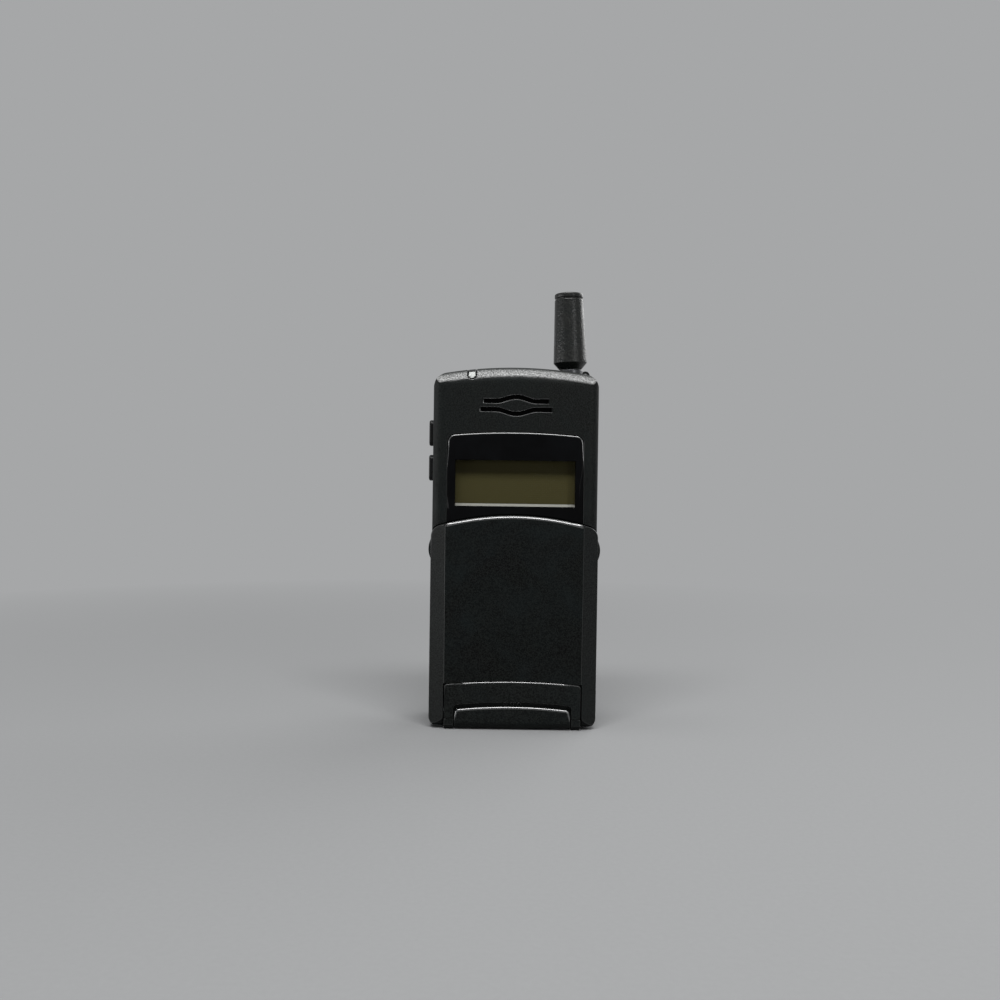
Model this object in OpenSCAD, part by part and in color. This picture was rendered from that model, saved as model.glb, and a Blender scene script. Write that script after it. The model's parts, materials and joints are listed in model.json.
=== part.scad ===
// Flip phone. A two-part case carries a display window and an earpiece above and a key deck below.
// A lid hinged at the foot shuts over the keys, an antenna pulls out of the top, and the battery
// forms the lower back.
// Millimetres. +Z is up, the front faces -Y, and the origin is the middle of the foot at the parting plane.

/* [Case] */
// Width of the case
body_w = 48; // [46:0.5:54]
// Height of the case at the crown of its top
body_h = 105; // [102:0.5:114]
// Rise of the arched top from its sides to its crown
crown_rise = 2.4; // [1.5:0.1:3.5]
// Corner radius at the top, seen from the front
case_corner_r = 5; // [4:0.25:6]
// Corner radius at the foot, seen from the front
foot_corner_r = 2.5; // [2:0.25:3.5]
// Depth of the key deck in front of the parting plane
deck_d = 8.3; // [7.9:0.1:8.7]
// How far the upper face stands in front of the key deck
face_step = 2.5; // [2.3:0.1:3]
// Depth of the upper back behind the parting plane
rear_d = 11; // [9.5:0.1:13]
// Wall thickness of both covers
wall = 1.5; // [1.3:0.1:1.7]
// Rounding of the front edge along the top
brow_r = 4.5; // [3:0.25:5.5]
// Rounding of the long front edges
side_edge_r = 3; // [2:0.25:4]
// Rounding of the edges at the back
back_edge_r = 3.5; // [2.5:0.25:4.5]

/* [Window and display] */
// Distance of the window's side edges from the lid's crease lines
window_side = 0.2; // [0.1:0.1:1.5]
// Distance of the window's top edge below the crown of the case
window_drop = 19; // [17.5:0.1:21]
// Rise of the arch in the window's top edge
window_rise = 1; // [0.5:0.1:2]
// Corner radius of the window
window_corner_r = 2.2; // [0.8:0.1:3]
// Thickness of the window
window_t = 1.2; // [1:0.1:1.5]
// Thickness of the bed that the window lies on
bed_t = 1.8; // [1.5:0.1:2]
// Width of the dark border beside the display
border_w = 2.2; // [2:0.1:4]
// Height of the dark border above the display
header_h = 8.1; // [5:0.1:10]
// Distance of the display's opening above the crown of the lid
sill_h = 2.3; // [2.1:0.1:4]
// Height of the pale rim that shows under the display
rim_h = 1; // [0.6:0.1:1.5]
// Thickness of the display glass
glass_t = 1.8; // [1.2:0.1:2]

/* [Earpiece] */
// Distance of the earpiece slots below the crown of the case
ear_drop = 11.3; // [10:0.1:12.5]
// Distance between the two slots at their ends
ear_pitch = 2.4; // [2:0.1:3]
// Rise of the bow in the middle of each slot
ear_bow = 1.25; // [0.8:0.05:1.6]
// Half length of the upper slot
ear_upper_half = 9.3; // [8:0.1:10.5]
// Half length of the lower slot
ear_lower_half = 10.25; // [8:0.1:11]
// Height of each slot
ear_slot_h = 1.2; // [0.7:0.05:1.4]
// Gap between the receiver capsule and the window's bed
ear_bed_gap = 0.9; // [0.3:0.1:2]
// Depth of the receiver capsule
ear_capsule_d = 4; // [3:0.1:4.2]

/* [Status lens] */
// Distance of the status lens from the middle, towards the left
lens_x = 12.9; // [10:0.1:15]
// Width of the status lens
lens_w = 2.3; // [1.8:0.1:2.6]
// Length of the status lens from the crown of the case to its lower end
lens_drop = 3.8; // [3.4:0.1:4.4]
// Length of the light pipe behind the upper face
lens_pipe_d = 5; // [4:0.1:6]

/* [Lid and hinge] */
// Height of the upper face between the lid and the crown of the case
face_h = 43; // [40:0.5:46]
// Gap between the keys and the shut lid
key_lid_gap = 0.4; // [0.3:0.05:0.6]
// How far the lid stands in front of the upper face
lid_proud = 1.2; // [0.9:0.1:1.4]
// Rise of the arch in the lid's top edge, measured between its creases
lid_rise = 2.55; // [1.5:0.05:3]
// Corner radius of the lid
lid_corner_r = 3.5; // [2.5:0.25:4.5]
// How far the lid stands out past each side of the case
lid_flare = 0.25; // [0.1:0.05:0.4]
// Width of the sloped strip along each side of the lid, without that overhang
strip_w = 4.2; // [3.8:0.1:4.4]
// How far the sloped strip falls back at the side
strip_fall = 2.1; // [1.6:0.1:2.5]
// Small bevel along each crease
crease_step = 0.25; // [0.1:0.05:0.4]
// Width of the lid's rim around its hollow inner side
lid_rim = 1.5; // [1.2:0.1:2]
// Distance of the lift nub on each side below the crown of the lid
nub_drop = 10; // [8.5:0.1:15]
// Length of each lift nub
nub_l = 5.6; // [4:0.1:7]
// How far each lift nub stands out
nub_proud = 0.65; // [0.4:0.05:1]
// Radius of the round ears at the foot of the lid
ear_r = 4.5; // [4.2:0.1:4.7]
// Rounding of the outer edge of each ear
ear_edge_r = 2; // [1:0.1:2.5]
// Height of the hinge axis
hinge_z = 5; // [4.9:0.1:5.4]
// Radius of the hinge pins
pin_r = 0.9; // [0.7:0.05:1.1]
// Length of each hinge pin
pin_l = 7.4; // [6:0.1:8]
// Length of each hinge pin inside its ear
pin_reach = 3; // [2.4:0.1:3.2]
// Height of the hinge cover at its middle
cover_top_z = 14; // [13:0.1:14.4]
// Fall of the hinge cover's top edge from its middle to its ends
cover_fall = 1; // [0.6:0.1:1.4]
// Thickness of the hinge cover
cover_t = 1.4; // [1.2:0.1:1.6]
// Lower end of the hinge cover's legs
cover_low_z = 3.3; // [2.8:0.1:3.8]
// Width of the hinge cover's legs
leg_w = 2.7; // [2:0.1:4]
// Height of the cut-out at its middle
cutout_top_z = 8.1; // [7.9:0.1:8.5]
// Fall of the cut-out's edge from its middle to its ends
cutout_fall = 1; // [0.6:0.1:1.3]
// Height of the slot above the mouthpiece bar
mouth_slot_h = 1.1; // [0.8:0.1:1.3]
// Rounding of the front edge along the foot
toe_r = 2.6; // [2:0.1:3]

/* [Keys] */
// Distance of the digit keys from the lid's crease lines
key_side = 2; // [1.5:0.1:3]
// Gap between digit keys in a row
key_between = 2.2; // [2:0.1:3]
// Distance of the upper row of keys from the lid's crease lines
function_side = 0.7; // [0.6:0.1:1.5]
// Gap between keys in the upper row
function_between = 1.8; // [1.7:0.1:2.4]
// Gap between rows of keys
key_row_gap = 2.8; // [2.4:0.1:3.4]
// Distance from the top of the hinge cover to the middle of the lowest row
key_low_gap = 6.4; // [6:0.1:7.5]
// Distance from the crown of the lid down to the middle of the upper row
key_top_gap = 8.8; // [8.4:0.1:10]
// How far the keys stand out of the deck
key_proud = 1.1; // [0.8:0.05:1.15]
// Travel of the deck keys
key_travel = 0.5; // [0.3:0.05:0.55]
// Width of the flange that holds each key behind the deck
key_flange = 0.5; // [0.4:0.05:0.6]
// Thickness of the key flange
key_flange_t = 0.6; // [0.5:0.05:0.8]
// Radius of the stem behind each key
key_stem_r = 1; // [0.7:0.1:1.5]
// Depth between the deck and the board
key_stack = 2.4; // [2.3:0.05:2.6]
// Thickness of the sheet of domes
dome_sheet_t = 0.2; // [0.1:0.05:0.3]
// Height of each dome
dome_h = 0.3; // [0.2:0.05:0.35]
// Radius of each dome
dome_r = 2; // [1.5:0.1:2.4]

/* [Volume keys] */
// Distance of the upper volume key below the crown of the case
volume_up_drop = 19.3; // [18:0.1:19.6]
// Distance of the lower volume key below the crown of the case
volume_down_drop = 29.5; // [29.2:0.1:31]
// Length of each volume key
volume_l = 7.6; // [6:0.1:8]
// Width of each volume key
volume_w = 3; // [2.5:0.1:3.2]
// How far the volume keys stand out
volume_proud = 1.35; // [0.8:0.05:1.6]
// Travel of the volume keys
volume_travel = 0.5; // [0.3:0.05:0.6]
// Width and thickness of their inner flange
volume_flange = 0.7; // [0.5:0.05:0.8]
// Distance of the volume keys in front of the parting plane
volume_d = 4; // [3.6:0.1:4.4]
// Depth of the switches under the volume keys
switch_d = 1.4; // [1:0.1:1.5]

/* [Antenna] */
// Distance of the antenna's foot from the right side of the case
antenna_inset = 7.8; // [7:0.1:8.5]
// Lean of the antenna towards the middle, in degrees
antenna_lean = 2; // [0:0.25:2]
// Depth of the round seat that the collar stands in
antenna_seat_d = 0.8; // [0.5:0.1:1.2]
// Radius of the collar
collar_r = 3.6; // [3.2:0.1:4]
// Height of the collar above its seat
collar_h = 2; // [1.5:0.1:2.5]
// Radius of the bushing below the collar
bushing_r = 2.9; // [2.5:0.1:3]
// Length of the bushing below the seat
bushing_l = 5; // [4:0.25:5]
// Largest radius of the stub, near its lower end
stub_r = 4.95; // [4.2:0.05:5.2]
// Radius of the stub at its top
stub_top_r = 4.2; // [3.8:0.05:4.4]
// Radius of the stub's underside
stub_foot_r = 3.3; // [3.15:0.05:3.6]
// Height of the sloped lower end of the stub
stub_slope_h = 1.9; // [1.2:0.1:2.5]
// Length of the stub
stub_l = 20.8; // [19:0.1:24]
// Height of the groove under the cap
cap_groove_h = 0.4; // [0.3:0.05:0.6]
// Depth of the groove under the cap
cap_groove_d = 0.45; // [0.2:0.05:0.6]
// Thickness of the cap
cap_t = 1.3; // [1:0.1:2]
// Radius of the whip
whip_r = 0.8; // [0.6:0.05:0.9]
// Radius of the stop bead at the whip's lower end
bead_r = 1.3; // [1.2:0.05:1.35]
// Length of the stop bead
bead_l = 2; // [1.5:0.1:3]
// How far the antenna pulls out
antenna_travel = 60; // [50:1:64]
// Wall of the tube that guides the whip
guide_t = 0.35; // [0.3:0.05:0.4]
// Inner radius of the winding in the stub
coil_r = 2.4; // [2:0.05:2.5]
// Thickness of the winding
coil_t = 0.55; // [0.4:0.05:0.6]
// Length of the winding
coil_l = 14; // [10:0.5:16]

/* [Strap lug] */
// Distance of the lug from the antenna's foot
lug_pitch = 4.7; // [4.5:0.1:5]
// Distance of the lug behind the parting plane
lug_back = 3.6; // [3:0.1:5]
// Radius of the lug's round end
lug_r = 1.3; // [1.1:0.05:1.4]
// Radius of the hole through the lug
lug_hole_r = 0.65; // [0.5:0.05:0.7]
// Thickness of the lug
lug_t = 1.6; // [1.2:0.1:2]
// Height of the lug's hole under the crown of the case
lug_below_crown = 1; // [0.6:0.1:1.2]
// Depth of the lug's root under its hole
lug_root = 5; // [4.6:0.1:5]

/* [Battery] */
// Depth of the battery bay's floor behind the parting plane
bay_d = 4; // [3.8:0.1:4.4]
// Height of the upper back between the battery bay and the crown of the case
upper_back_h = 44.8; // [42:0.1:48]
// Depth of the battery's back behind the parting plane
battery_back = 12; // [11.5:0.1:14]
// Wall of the battery case
battery_wall = 1; // [0.8:0.1:1.2]
// Rounding of the battery's lower edge at the back
battery_toe_r = 2.5; // [1.5:0.25:3.5]
// Rounding of the battery's upper edge at the back
battery_brow_r = 1; // [0.5:0.1:1.2]
// Gap between the cells and the sides of the battery case
cell_side = 1.5; // [1:0.1:3]
// Room above the cells in the battery case
cell_headroom = 11.4; // [10.5:0.1:15]
// Gap between cells
cell_gap = 0.2; // [0.1:0.05:0.3]
// Gap between the catch's slide and the top wall of the battery case
catch_slack = 0.3; // [0.2:0.05:0.8]
// Half width of the catch's thumb piece
catch_half = 6; // [5:0.1:8]
// Height of the thumb piece
catch_h = 4.4; // [3.8:0.1:4.8]
// Depth of the thumb piece below the battery's back
catch_sink = 0.3; // [0.2:0.05:0.5]
// Travel of the catch
catch_travel = 1.2; // [0.8:0.05:1.4]
// Thickness of the catch's slide behind the wall
catch_t = 0.8; // [0.6:0.05:1]
// Overlap of the slide round its window
catch_lip = 0.8; // [0.6:0.05:1]
// Half width of the catch's tongue
tongue_half = 3; // [2:0.1:4]
// How far the tongue stands above the battery
tongue_reach = 0.9; // [0.6:0.05:1]
// Distance of the row of contacts below the top of the battery
contact_drop = 6; // [4:0.1:8]
// Pitch of the contacts
contact_pitch = 6; // [4:0.1:7]
// Radius of the sprung contacts
contact_r = 0.9; // [0.6:0.05:1.1]
// Width of each battery terminal
terminal_w = 3.2; // [2.6:0.1:4]
// Height of each battery terminal
terminal_h = 2.4; // [2:0.1:3.5]
// Thickness of each battery terminal
terminal_t = 0.4; // [0.3:0.05:0.6]

/* [Inside] */
// Thickness of the main board
board_t = 1; // [0.8:0.1:1.2]
// Gap between the board and the case at the sides
board_side_gap = 2.1; // [2:0.1:2.4]
// Height of the shield cans
shield_h = 1.8; // [1.2:0.1:1.85]
// Left edge of the shield cans from the board's left edge
shield_inset = 1.5; // [1:0.1:3]
// Distance of the shield cans' right edge from the antenna's axis
shield_guide_gap = 7.1; // [5.5:0.1:12]
// Lower edge of the logic shield
logic_low_z = 14; // [13:0.5:18]
// Gap between the logic shield and the row of contacts
logic_gap = 4; // [2:0.1:8]
// Gap between the row of contacts and the radio shield
rf_gap = 6; // [2:0.1:10]
// Distance of the radio shield below the crown of the case
rf_drop = 21; // [20:0.1:28]
// Radius of the ringer
buzzer_r = 5; // [4:0.1:5.2]
// Height of the ringer on the board
buzzer_h = 3; // [2:0.1:4]
// Distance of the ringer from the upper screw on the left
buzzer_inset = 9.1; // [8:0.1:11]
// Distance of the ringer below the crown of the case
buzzer_drop = 12.5; // [11:0.1:14]
// Radius of the microphone
mic_r = 2.9; // [2.2:0.1:3]
// Depth of the microphone
mic_d = 2.2; // [1.5:0.1:2.3]
// Thickness of the rubber boot around the microphone
boot_t = 0.8; // [0.5:0.05:0.9]
// Radius of the sound holes to the microphone
mic_port_r = 0.45; // [0.3:0.05:0.5]
// Spacing of the sound holes
mic_port_pitch = 2; // [1.4:0.1:2.2]
// Half width of the dock connector
dock_half = 9; // [7:0.1:10]
// Depth of the dock connector behind the board
dock_d = 4; // [3.6:0.1:4.4]
// Height of the dock connector
dock_h = 6; // [5:0.1:7]
// How far the dock connector lies inside the foot
dock_sink = 0.4; // [0.3:0.05:0.6]
// Number of dock contacts
dock_count = 9; // [5:1:9]
// Pitch of the dock contacts
dock_pitch = 1.8; // [1.5:0.05:1.9]
// Width of each dock contact
dock_pad_w = 1; // [0.6:0.05:1.2]
// Length of each dock contact
dock_pad_l = 2.6; // [2:0.1:3.2]
// Thickness of each dock contact
dock_pad_t = 0.15; // [0.1:0.05:0.25]
// Radius of the lid's magnet
magnet_r = 2; // [1.5:0.1:2.3]
// Thickness of the lid's magnet
magnet_t = 0.8; // [0.5:0.1:0.9]
// Distance of the magnet from the middle, towards the left
magnet_x = 8; // [6:0.5:10]
// Height of the magnet below the lid's top edge
magnet_drop = 4.2; // [4:0.1:5]
// Length of the hook switch
hook_l = 7; // [5:0.25:8]
// Width and height of the hook switch
hook_w = 1.2; // [1:0.1:1.6]
// Radius of the screw shanks
screw_r = 0.8; // [0.6:0.05:0.9]
// Radius of the screw heads
screw_head_r = 1.5; // [1.3:0.05:1.6]
// Height of the screw heads
screw_head_h = 1; // [0.8:0.1:1.2]
// Length of the screws in the front cover
screw_l = 5; // [4:0.1:6]
// Radius of the screw bosses
boss_r = 1.8; // [1.6:0.05:1.9]
// Distance of the two upper screws below the crown of the case
screw_top_drop = 9.2; // [9:0.1:10]
// Height of the two lower screws
screw_low_z = 9.5; // [9:0.1:10]
// Distance of the lower screws from the pockets of the hinge ears
screw_low_inset = 3.7; // [3:0.1:4.4]

/* [Clearances] */
// Gap round the lid
lid_gap = 0.3; // [0.25:0.05:0.4]
// Gap between fixed pieces that are set into each other
fit_gap = 0.1; // [0.05:0.01:0.12]
// Running gap of a pin in its hole
run_gap = 0.05; // [0.02:0.01:0.08]
// Gap round each key in its hole
key_gap = 0.25; // [0.2:0.01:0.3]
// Gap behind the deck and under pressed keys
key_float = 0.05; // [0.03:0.01:0.08]
// Gap between the battery and its bay
battery_gap = 0.2; // [0.15:0.01:0.3]

/* [Hidden] */
$fn = 96;
over = 1;
half_w = body_w / 2;
inner_half = half_w - wall;
arch_r = (half_w ^ 2 + crown_rise ^ 2) / (2 * crown_rise);
arch_base = body_h - arch_r;
front_d = deck_d + face_step;
lid_top_z = body_h - face_h;
lid_t = lid_proud + face_step - key_proud - key_lid_gap;
bay_top_z = body_h - upper_back_h;

// Planes from front to back
face_y = -front_d;
deck_y = -deck_d;
deck_in_y = deck_y + wall;
lid_front_y = face_y - lid_proud;
lid_in_y = lid_front_y + lid_t;
lid_back_y = deck_y - lid_gap;
board_y = deck_in_y + key_stack;
board_back_y = board_y + board_t;
bed_back_y = face_y + window_t + bed_t;
bay_in_y = bay_d - wall;
battery_y = bay_d + battery_gap;

// Window and display
crease_x = half_w - strip_w;
window_half = crease_x - window_side;
window_top_z = body_h - window_drop;
window_arch_r = (window_half ^ 2 + window_rise ^ 2) / (2 * window_rise);
bed_margin = 1;
ear_z = body_h - ear_drop;
ear_capsule_r = ear_z - window_top_z - bed_margin - ear_bed_gap;
opening_half = window_half - border_w;
opening_low_z = lid_top_z + sill_h;
opening_top_z = window_top_z - header_h;
glass_margin = 0.9;
lcd_wall = 1;
glass_low_z = opening_low_z + rim_h;
glass_top_z = opening_top_z + glass_margin;
glass_half = opening_half + glass_margin;
lcd_margin = 0.6;
lcd_low_z = opening_low_z - lcd_margin;
lcd_top_z = glass_top_z + lcd_wall;
lcd_half = glass_half + lcd_wall;
step_wall = 1;
mesh_t = 0.2;

// Lid and hinge
lid_half = half_w + lid_flare;
cover_half = crease_x - fit_gap;
arm_in = cover_half + lid_gap;
lid_arch_r = (crease_x ^ 2 + lid_rise ^ 2) / (2 * lid_rise);
lid_arch_base = lid_top_z - lid_arch_r;
hinge_y = lid_front_y + ear_r;
cover_mid_r = sqrt(ear_r ^ 2 + (cover_top_z - hinge_z) ^ 2);
cover_end_r = sqrt(ear_r ^ 2 + (cover_top_z - cover_fall - hinge_z) ^ 2);
cover_sag = cover_mid_r - cover_end_r;
barrel_top_z = hinge_z + cover_mid_r + over;
cover_arc_r = (cover_half ^ 2 + cover_sag ^ 2) / (2 * cover_sag);
core_y = lid_front_y + cover_t;
cutout_half = cover_half - leg_w;
nub_z = lid_top_z - nub_drop;
cutout_arch_r = (cutout_half ^ 2 + cutout_fall ^ 2) / (2 * cutout_fall);
cutout_corner_r = 1.3;
bar_inset = 0.3;
toe_lift = 0.4;
strip_edge_y = lid_front_y + crease_step + strip_fall;
nub_r = ((nub_l / 2) ^ 2 + nub_proud ^ 2) / (2 * nub_proud);
nub_step = 0.2;
pin_out = arm_in + pin_reach;
pin_in = pin_out - pin_l;
magnet_z = lid_top_z - magnet_drop;

// Keys, each as its name, place and size
digit_marks = [["star", "0", "hash"], ["7", "8", "9"], ["4", "5", "6"], ["1", "2", "3"]];
function_marks = ["call", "left", "clear", "right", "end"];
key_pitch_x = (2 * (crease_x - key_side) + key_between) / 3;
key_w = key_pitch_x - key_between;
function_pitch = (2 * (crease_x - function_side) + function_between) / 5;
function_w = function_pitch - function_between;
key_low_z = cover_top_z + key_low_gap;
function_z = lid_top_z - key_top_gap;
key_pitch_z = (function_z - key_low_z) / len(digit_marks);
key_h = key_pitch_z - key_row_gap;
digit_keys = [for (row = [0:3], column = [0:2])
    [str("key_", digit_marks[row][column]), (column - 1) * key_pitch_x,
        key_low_z + row * key_pitch_z, key_w]];
function_keys = [for (place = [0:4])
    [str("key_", function_marks[place]), (place - 2) * function_pitch, function_z, function_w]];
deck_keys = concat(digit_keys, function_keys);
key_flange_y = deck_in_y + key_float;
dome_top_y = board_y - dome_sheet_t - dome_h;
key_stem_end_y = dome_top_y - key_travel - key_float;
mat_gap = 0.25;
mat_margin = 0.4;
mat_half = key_pitch_x + key_w / 2 + key_flange + mat_gap + mat_margin;
mat_low_z = key_low_z - key_h / 2 - key_flange - mat_gap - mat_margin;
mat_top_z = function_z + key_h / 2 + key_flange + mat_gap + mat_margin;

// Volume keys
volume_y = -volume_d;
volume_up_z = body_h - volume_up_drop;
volume_down_z = body_h - volume_down_drop;
volume_heights = [volume_up_z, volume_down_z];
switch_x = -inner_half + key_float + volume_flange + volume_travel + key_float;

// Antenna, upwards from its seat along its own leaning axis
antenna_x = half_w - antenna_inset;
bead_gap = 0.2;
guide_in_r = bead_r + bead_gap;
guide_r = guide_in_r + guide_t;
antenna_y = bay_in_y - battery_gap - guide_r;
seat_z = arch_base + sqrt(arch_r ^ 2 - antenna_x ^ 2) - antenna_seat_d;
stub_low = collar_h + lid_gap;
stub_top = stub_low + stub_l;
cap_top = stub_top + cap_groove_h + cap_t;
bead_top = -bushing_l - antenna_travel - lid_gap;
coil_floor = 1.6;
coil_low = stub_low + stub_slope_h + coil_floor;

// Strap lug
lug_x = antenna_x + lug_pitch;
lug_z = body_h - lug_below_crown;
lug_foot = 0.6;
lug_foot_h = 0.7;

// Battery
battery_top_z = bay_top_z - battery_gap;
battery_cavity_y = battery_y + battery_wall;
battery_cavity_top_z = battery_top_z - battery_wall;
battery_edge_r = 0.5;
least_r = 0.1;
cell_count = 4;
cell_low_z = battery_wall + fit_gap + battery_toe_r;
cell_l = battery_cavity_top_z - cell_headroom - cell_low_z;
cell_room = 2 * (half_w - battery_wall - cell_side);
cell_w = (cell_room - (cell_count - 1) * cell_gap) / cell_count;
contact_z = battery_top_z - contact_drop;
catch_lip_z = catch_h / 2 + catch_travel + catch_lip;
catch_drop = battery_wall + catch_slack + catch_lip_z;
catch_z = battery_top_z - catch_drop;
catch_back_y = battery_back - battery_wall - key_float;
catch_front_y = catch_back_y - catch_t;

// Board and what it carries
board_half = inner_half - board_side_gap;
board_low_z = 3;
board_top_gap = 5;
board_top_z = body_h - board_top_gap;
corner_top_z = hinge_z + ear_r + lid_gap + wall;
corner_half = cover_half - wall;
shield_left = -board_half + shield_inset;
shield_right = antenna_x - shield_guide_gap;
logic_top_z = contact_z - logic_gap;
rf_low_z = contact_z + rf_gap;
rf_top_z = body_h - rf_drop;
mic_z = cutout_top_z - mouth_slot_h / 2;
mic_wall = 1.2;
boot_r = mic_r + boot_t;
screw_top_x = inner_half - boss_r - fit_gap;
screw_top_z = body_h - screw_top_drop;
screw_low_x = corner_half - screw_low_inset;
buzzer_x = screw_top_x - buzzer_inset;
buzzer_z = body_h - buzzer_drop;
screw_places = [
    [screw_top_x, screw_top_z], [-screw_top_x, screw_top_z],
    [screw_low_x, screw_low_z], [-screw_low_x, screw_low_z]];
screw_seat_y = bay_in_y + fit_gap;
screw_floor = 0.4;

// Shared shapes

module along_y(y0, y1) {
    translate([0, y1, 0])
        rotate([90, 0, 0])
            linear_extrude(y1 - y0)
                children();
}

module along_z(z0, z1) {
    translate([0, 0, z0])
        linear_extrude(z1 - z0)
            children();
}

module along_x(x0, x1) {
    translate([x0, 0, 0])
        rotate([90, 0, 90])
            linear_extrude(x1 - x0)
                children();
}

module rod_y(r, y0, y1) {
    along_y(y0, y1)
        circle(r);
}

module block(x0, x1, y0, y1, z0, z1) {
    translate([x0, y0, z0])
        cube([x1 - x0, y1 - y0, z1 - z0]);
}

module both_sides() {
    children();
    mirror([1, 0, 0])
        children();
}

// Rectangle about the second axis, with one corner radius at each end
module two_radius(half, low, high, low_r, high_r) {
    middle = (low + high) / 2;
    translate([-half, low + low_r])
        square([2 * half, high - low - low_r - high_r]);
    translate([low_r - half, low])
        square([2 * (half - low_r), middle - low]);
    translate([high_r - half, middle])
        square([2 * (half - high_r), high - middle]);
    for (side = [-1, 1]) {
        translate([side * (half - low_r), low + low_r])
            circle(low_r);
        translate([side * (half - high_r), high - high_r])
            circle(high_r);
    }
}

// Outline with a flat lower end and an arched top whose corners are rounded
module crowned(half, low, arch, base, corner_r) {
    inner = half - corner_r;
    shoulder = base + sqrt((arch - corner_r) ^ 2 - inner ^ 2);
    rise = shoulder - base;
    lap = 0.5;
    near = 1 - lap / rise;
    far = 1.2;
    intersection() {
        translate([0, base])
            circle(arch, $fn = 360);
        polygon([
            [-inner * near, base + rise * near], [inner * near, base + rise * near],
            [inner * far, base + rise * far], [-inner * far, base + rise * far]]);
    }
    for (side = [-1, 1])
        translate([side * inner, shoulder])
            circle(corner_r);
    translate([-half, low])
        square([2 * half, shoulder - low]);
}

module pill(w, h) {
    if (w > h) {
        square([w - h, h], center = true);
        for (side = [-1, 1])
            translate([side * (w - h) / 2, 0])
                circle(h / 2);
    } else {
        square([w, h - w], center = true);
        for (side = [-1, 1])
            translate([0, side * (h - w) / 2])
                circle(w / 2);
    }
}

// Whole case without its lid and battery, drawn in by an inset
module case_block(inset) {
    front = front_d - inset;
    back = rear_d - inset;
    reach = half_w - inset;
    intersection() {
        along_y(-front, back)
            intersection() {
                crowned(reach, inset - over, arch_r - inset, arch_base, case_corner_r - inset);
                two_radius(reach, inset, body_h, foot_corner_r - inset, foot_corner_r - inset);
            }
        translate([0, 0, arch_base])
            rotate([-90, 0, 0])
                rotate_extrude($fn = 360)
                    intersection() {
                        two_radius(arch_r - inset, -front, back, brow_r - inset, back_edge_r - inset);
                        translate([0, -front])
                            square([arch_r, front + back]);
                    }
        along_z(-over, body_h + over)
            two_radius(reach, -front, back, side_edge_r - inset, back_edge_r - inset);
    }
}

module lid_outline(grow, low) {
    crowned(lid_half + grow, low, lid_arch_r + grow, lid_arch_base, lid_corner_r + grow);
}

module window_outline(grow) {
    low = lid_top_z - lid_rise - lid_corner_r;
    crowned(window_half + grow, low, window_arch_r + grow, window_top_z - window_arch_r,
        window_corner_r + grow);
}

module cutout_outline(grow) {
    crowned(cutout_half + grow, -over, cutout_arch_r + grow, cutout_top_z - cutout_arch_r,
        cutout_corner_r + grow);
}

module at_hinge() {
    translate([0, hinge_y, hinge_z])
        rotate([0, 90, 0])
            children();
}

// Barrel about the hinge axis, fuller in the middle than at its ends
module hinge_barrel(half, grow) {
    at_hinge()
        rotate_extrude()
            intersection() {
                translate([cover_mid_r - cover_arc_r, 0])
                    circle(cover_arc_r + grow, $fn = 360);
                translate([0, -half])
                    square([cover_mid_r + over, 2 * half]);
            }
}

module hinge_rod(r, x0, x1) {
    at_hinge()
        translate([0, 0, x0])
            cylinder(r = r, h = x1 - x0);
}

module at_antenna() {
    translate([antenna_x, antenna_y, seat_z])
        rotate([0, -antenna_lean, 0])
            children();
}

module at_screws() {
    for (place = screw_places)
        translate([place[0], 0, place[1]])
            children();
}

// One bowed slot of the earpiece, as a strip that follows a raised cosine
module bowed_slot(half, height, bow) {
    steps = 48;
    bow_half = 6;
    xs = [for (i = [0:steps]) half * (2 * i / steps - 1)];
    middle = [for (x = xs) abs(x) < bow_half ? bow * (1 + cos(180 * x / bow_half)) / 2 : 0];
    upper = [for (i = [0:steps]) [xs[i], height + middle[i] + ear_slot_h / 2]];
    lower = [for (i = [steps:-1:0]) [xs[i], height + middle[i] - ear_slot_h / 2]];
    polygon(concat(upper, lower));
}

module lens_slot(grow) {
    low = body_h - lens_drop + lens_w / 2;
    translate([-lens_x, low])
        circle(lens_w / 2 + grow);
    translate([-lens_x - lens_w / 2 - grow, low])
        square([lens_w + 2 * grow, lens_drop]);
}

// Case

// Solid core between the hinge arms, behind the hinge cover
module hinge_core() {
    intersection() {
        hinge_barrel(cover_half, -cover_t - fit_gap);
        block(-cover_half, cover_half, core_y - over, deck_in_y, 0, barrel_top_z);
        along_x(-half_w, half_w)
            toe_outline(core_y);
    }
    intersection() {
        both_sides()
            block(cutout_half, cover_half, lid_front_y + crease_step, core_y + over,
                0, cover_low_z - fit_gap);
        along_x(-half_w, half_w)
            toe_outline(lid_front_y);
    }
}

// Side profile of the foot, rounded at the front
module toe_outline(front_y) {
    translate([front_y + toe_r, toe_r])
        circle(toe_r);
    translate([front_y, toe_r])
        square([-front_y, barrel_top_z]);
    translate([front_y + toe_r, 0])
        square([-front_y - toe_r, barrel_top_z]);
}

module ear_notch() {
    both_sides() {
        hinge_rod(ear_r + lid_gap, cover_half, half_w + over);
        block(cover_half, half_w + over, lid_front_y - over, hinge_y + ear_r + lid_gap, -over, hinge_z);
    }
}

module front_cavity() {
    difference() {
        case_block(wall);
        block(-half_w, half_w, over, rear_d, 0, body_h);
        along_y(face_y - over, deck_in_y)
            lid_outline(lid_gap + step_wall, -over);
        both_sides()
            block(corner_half, half_w, face_y, over, 0, corner_top_z);
    }
}

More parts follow.
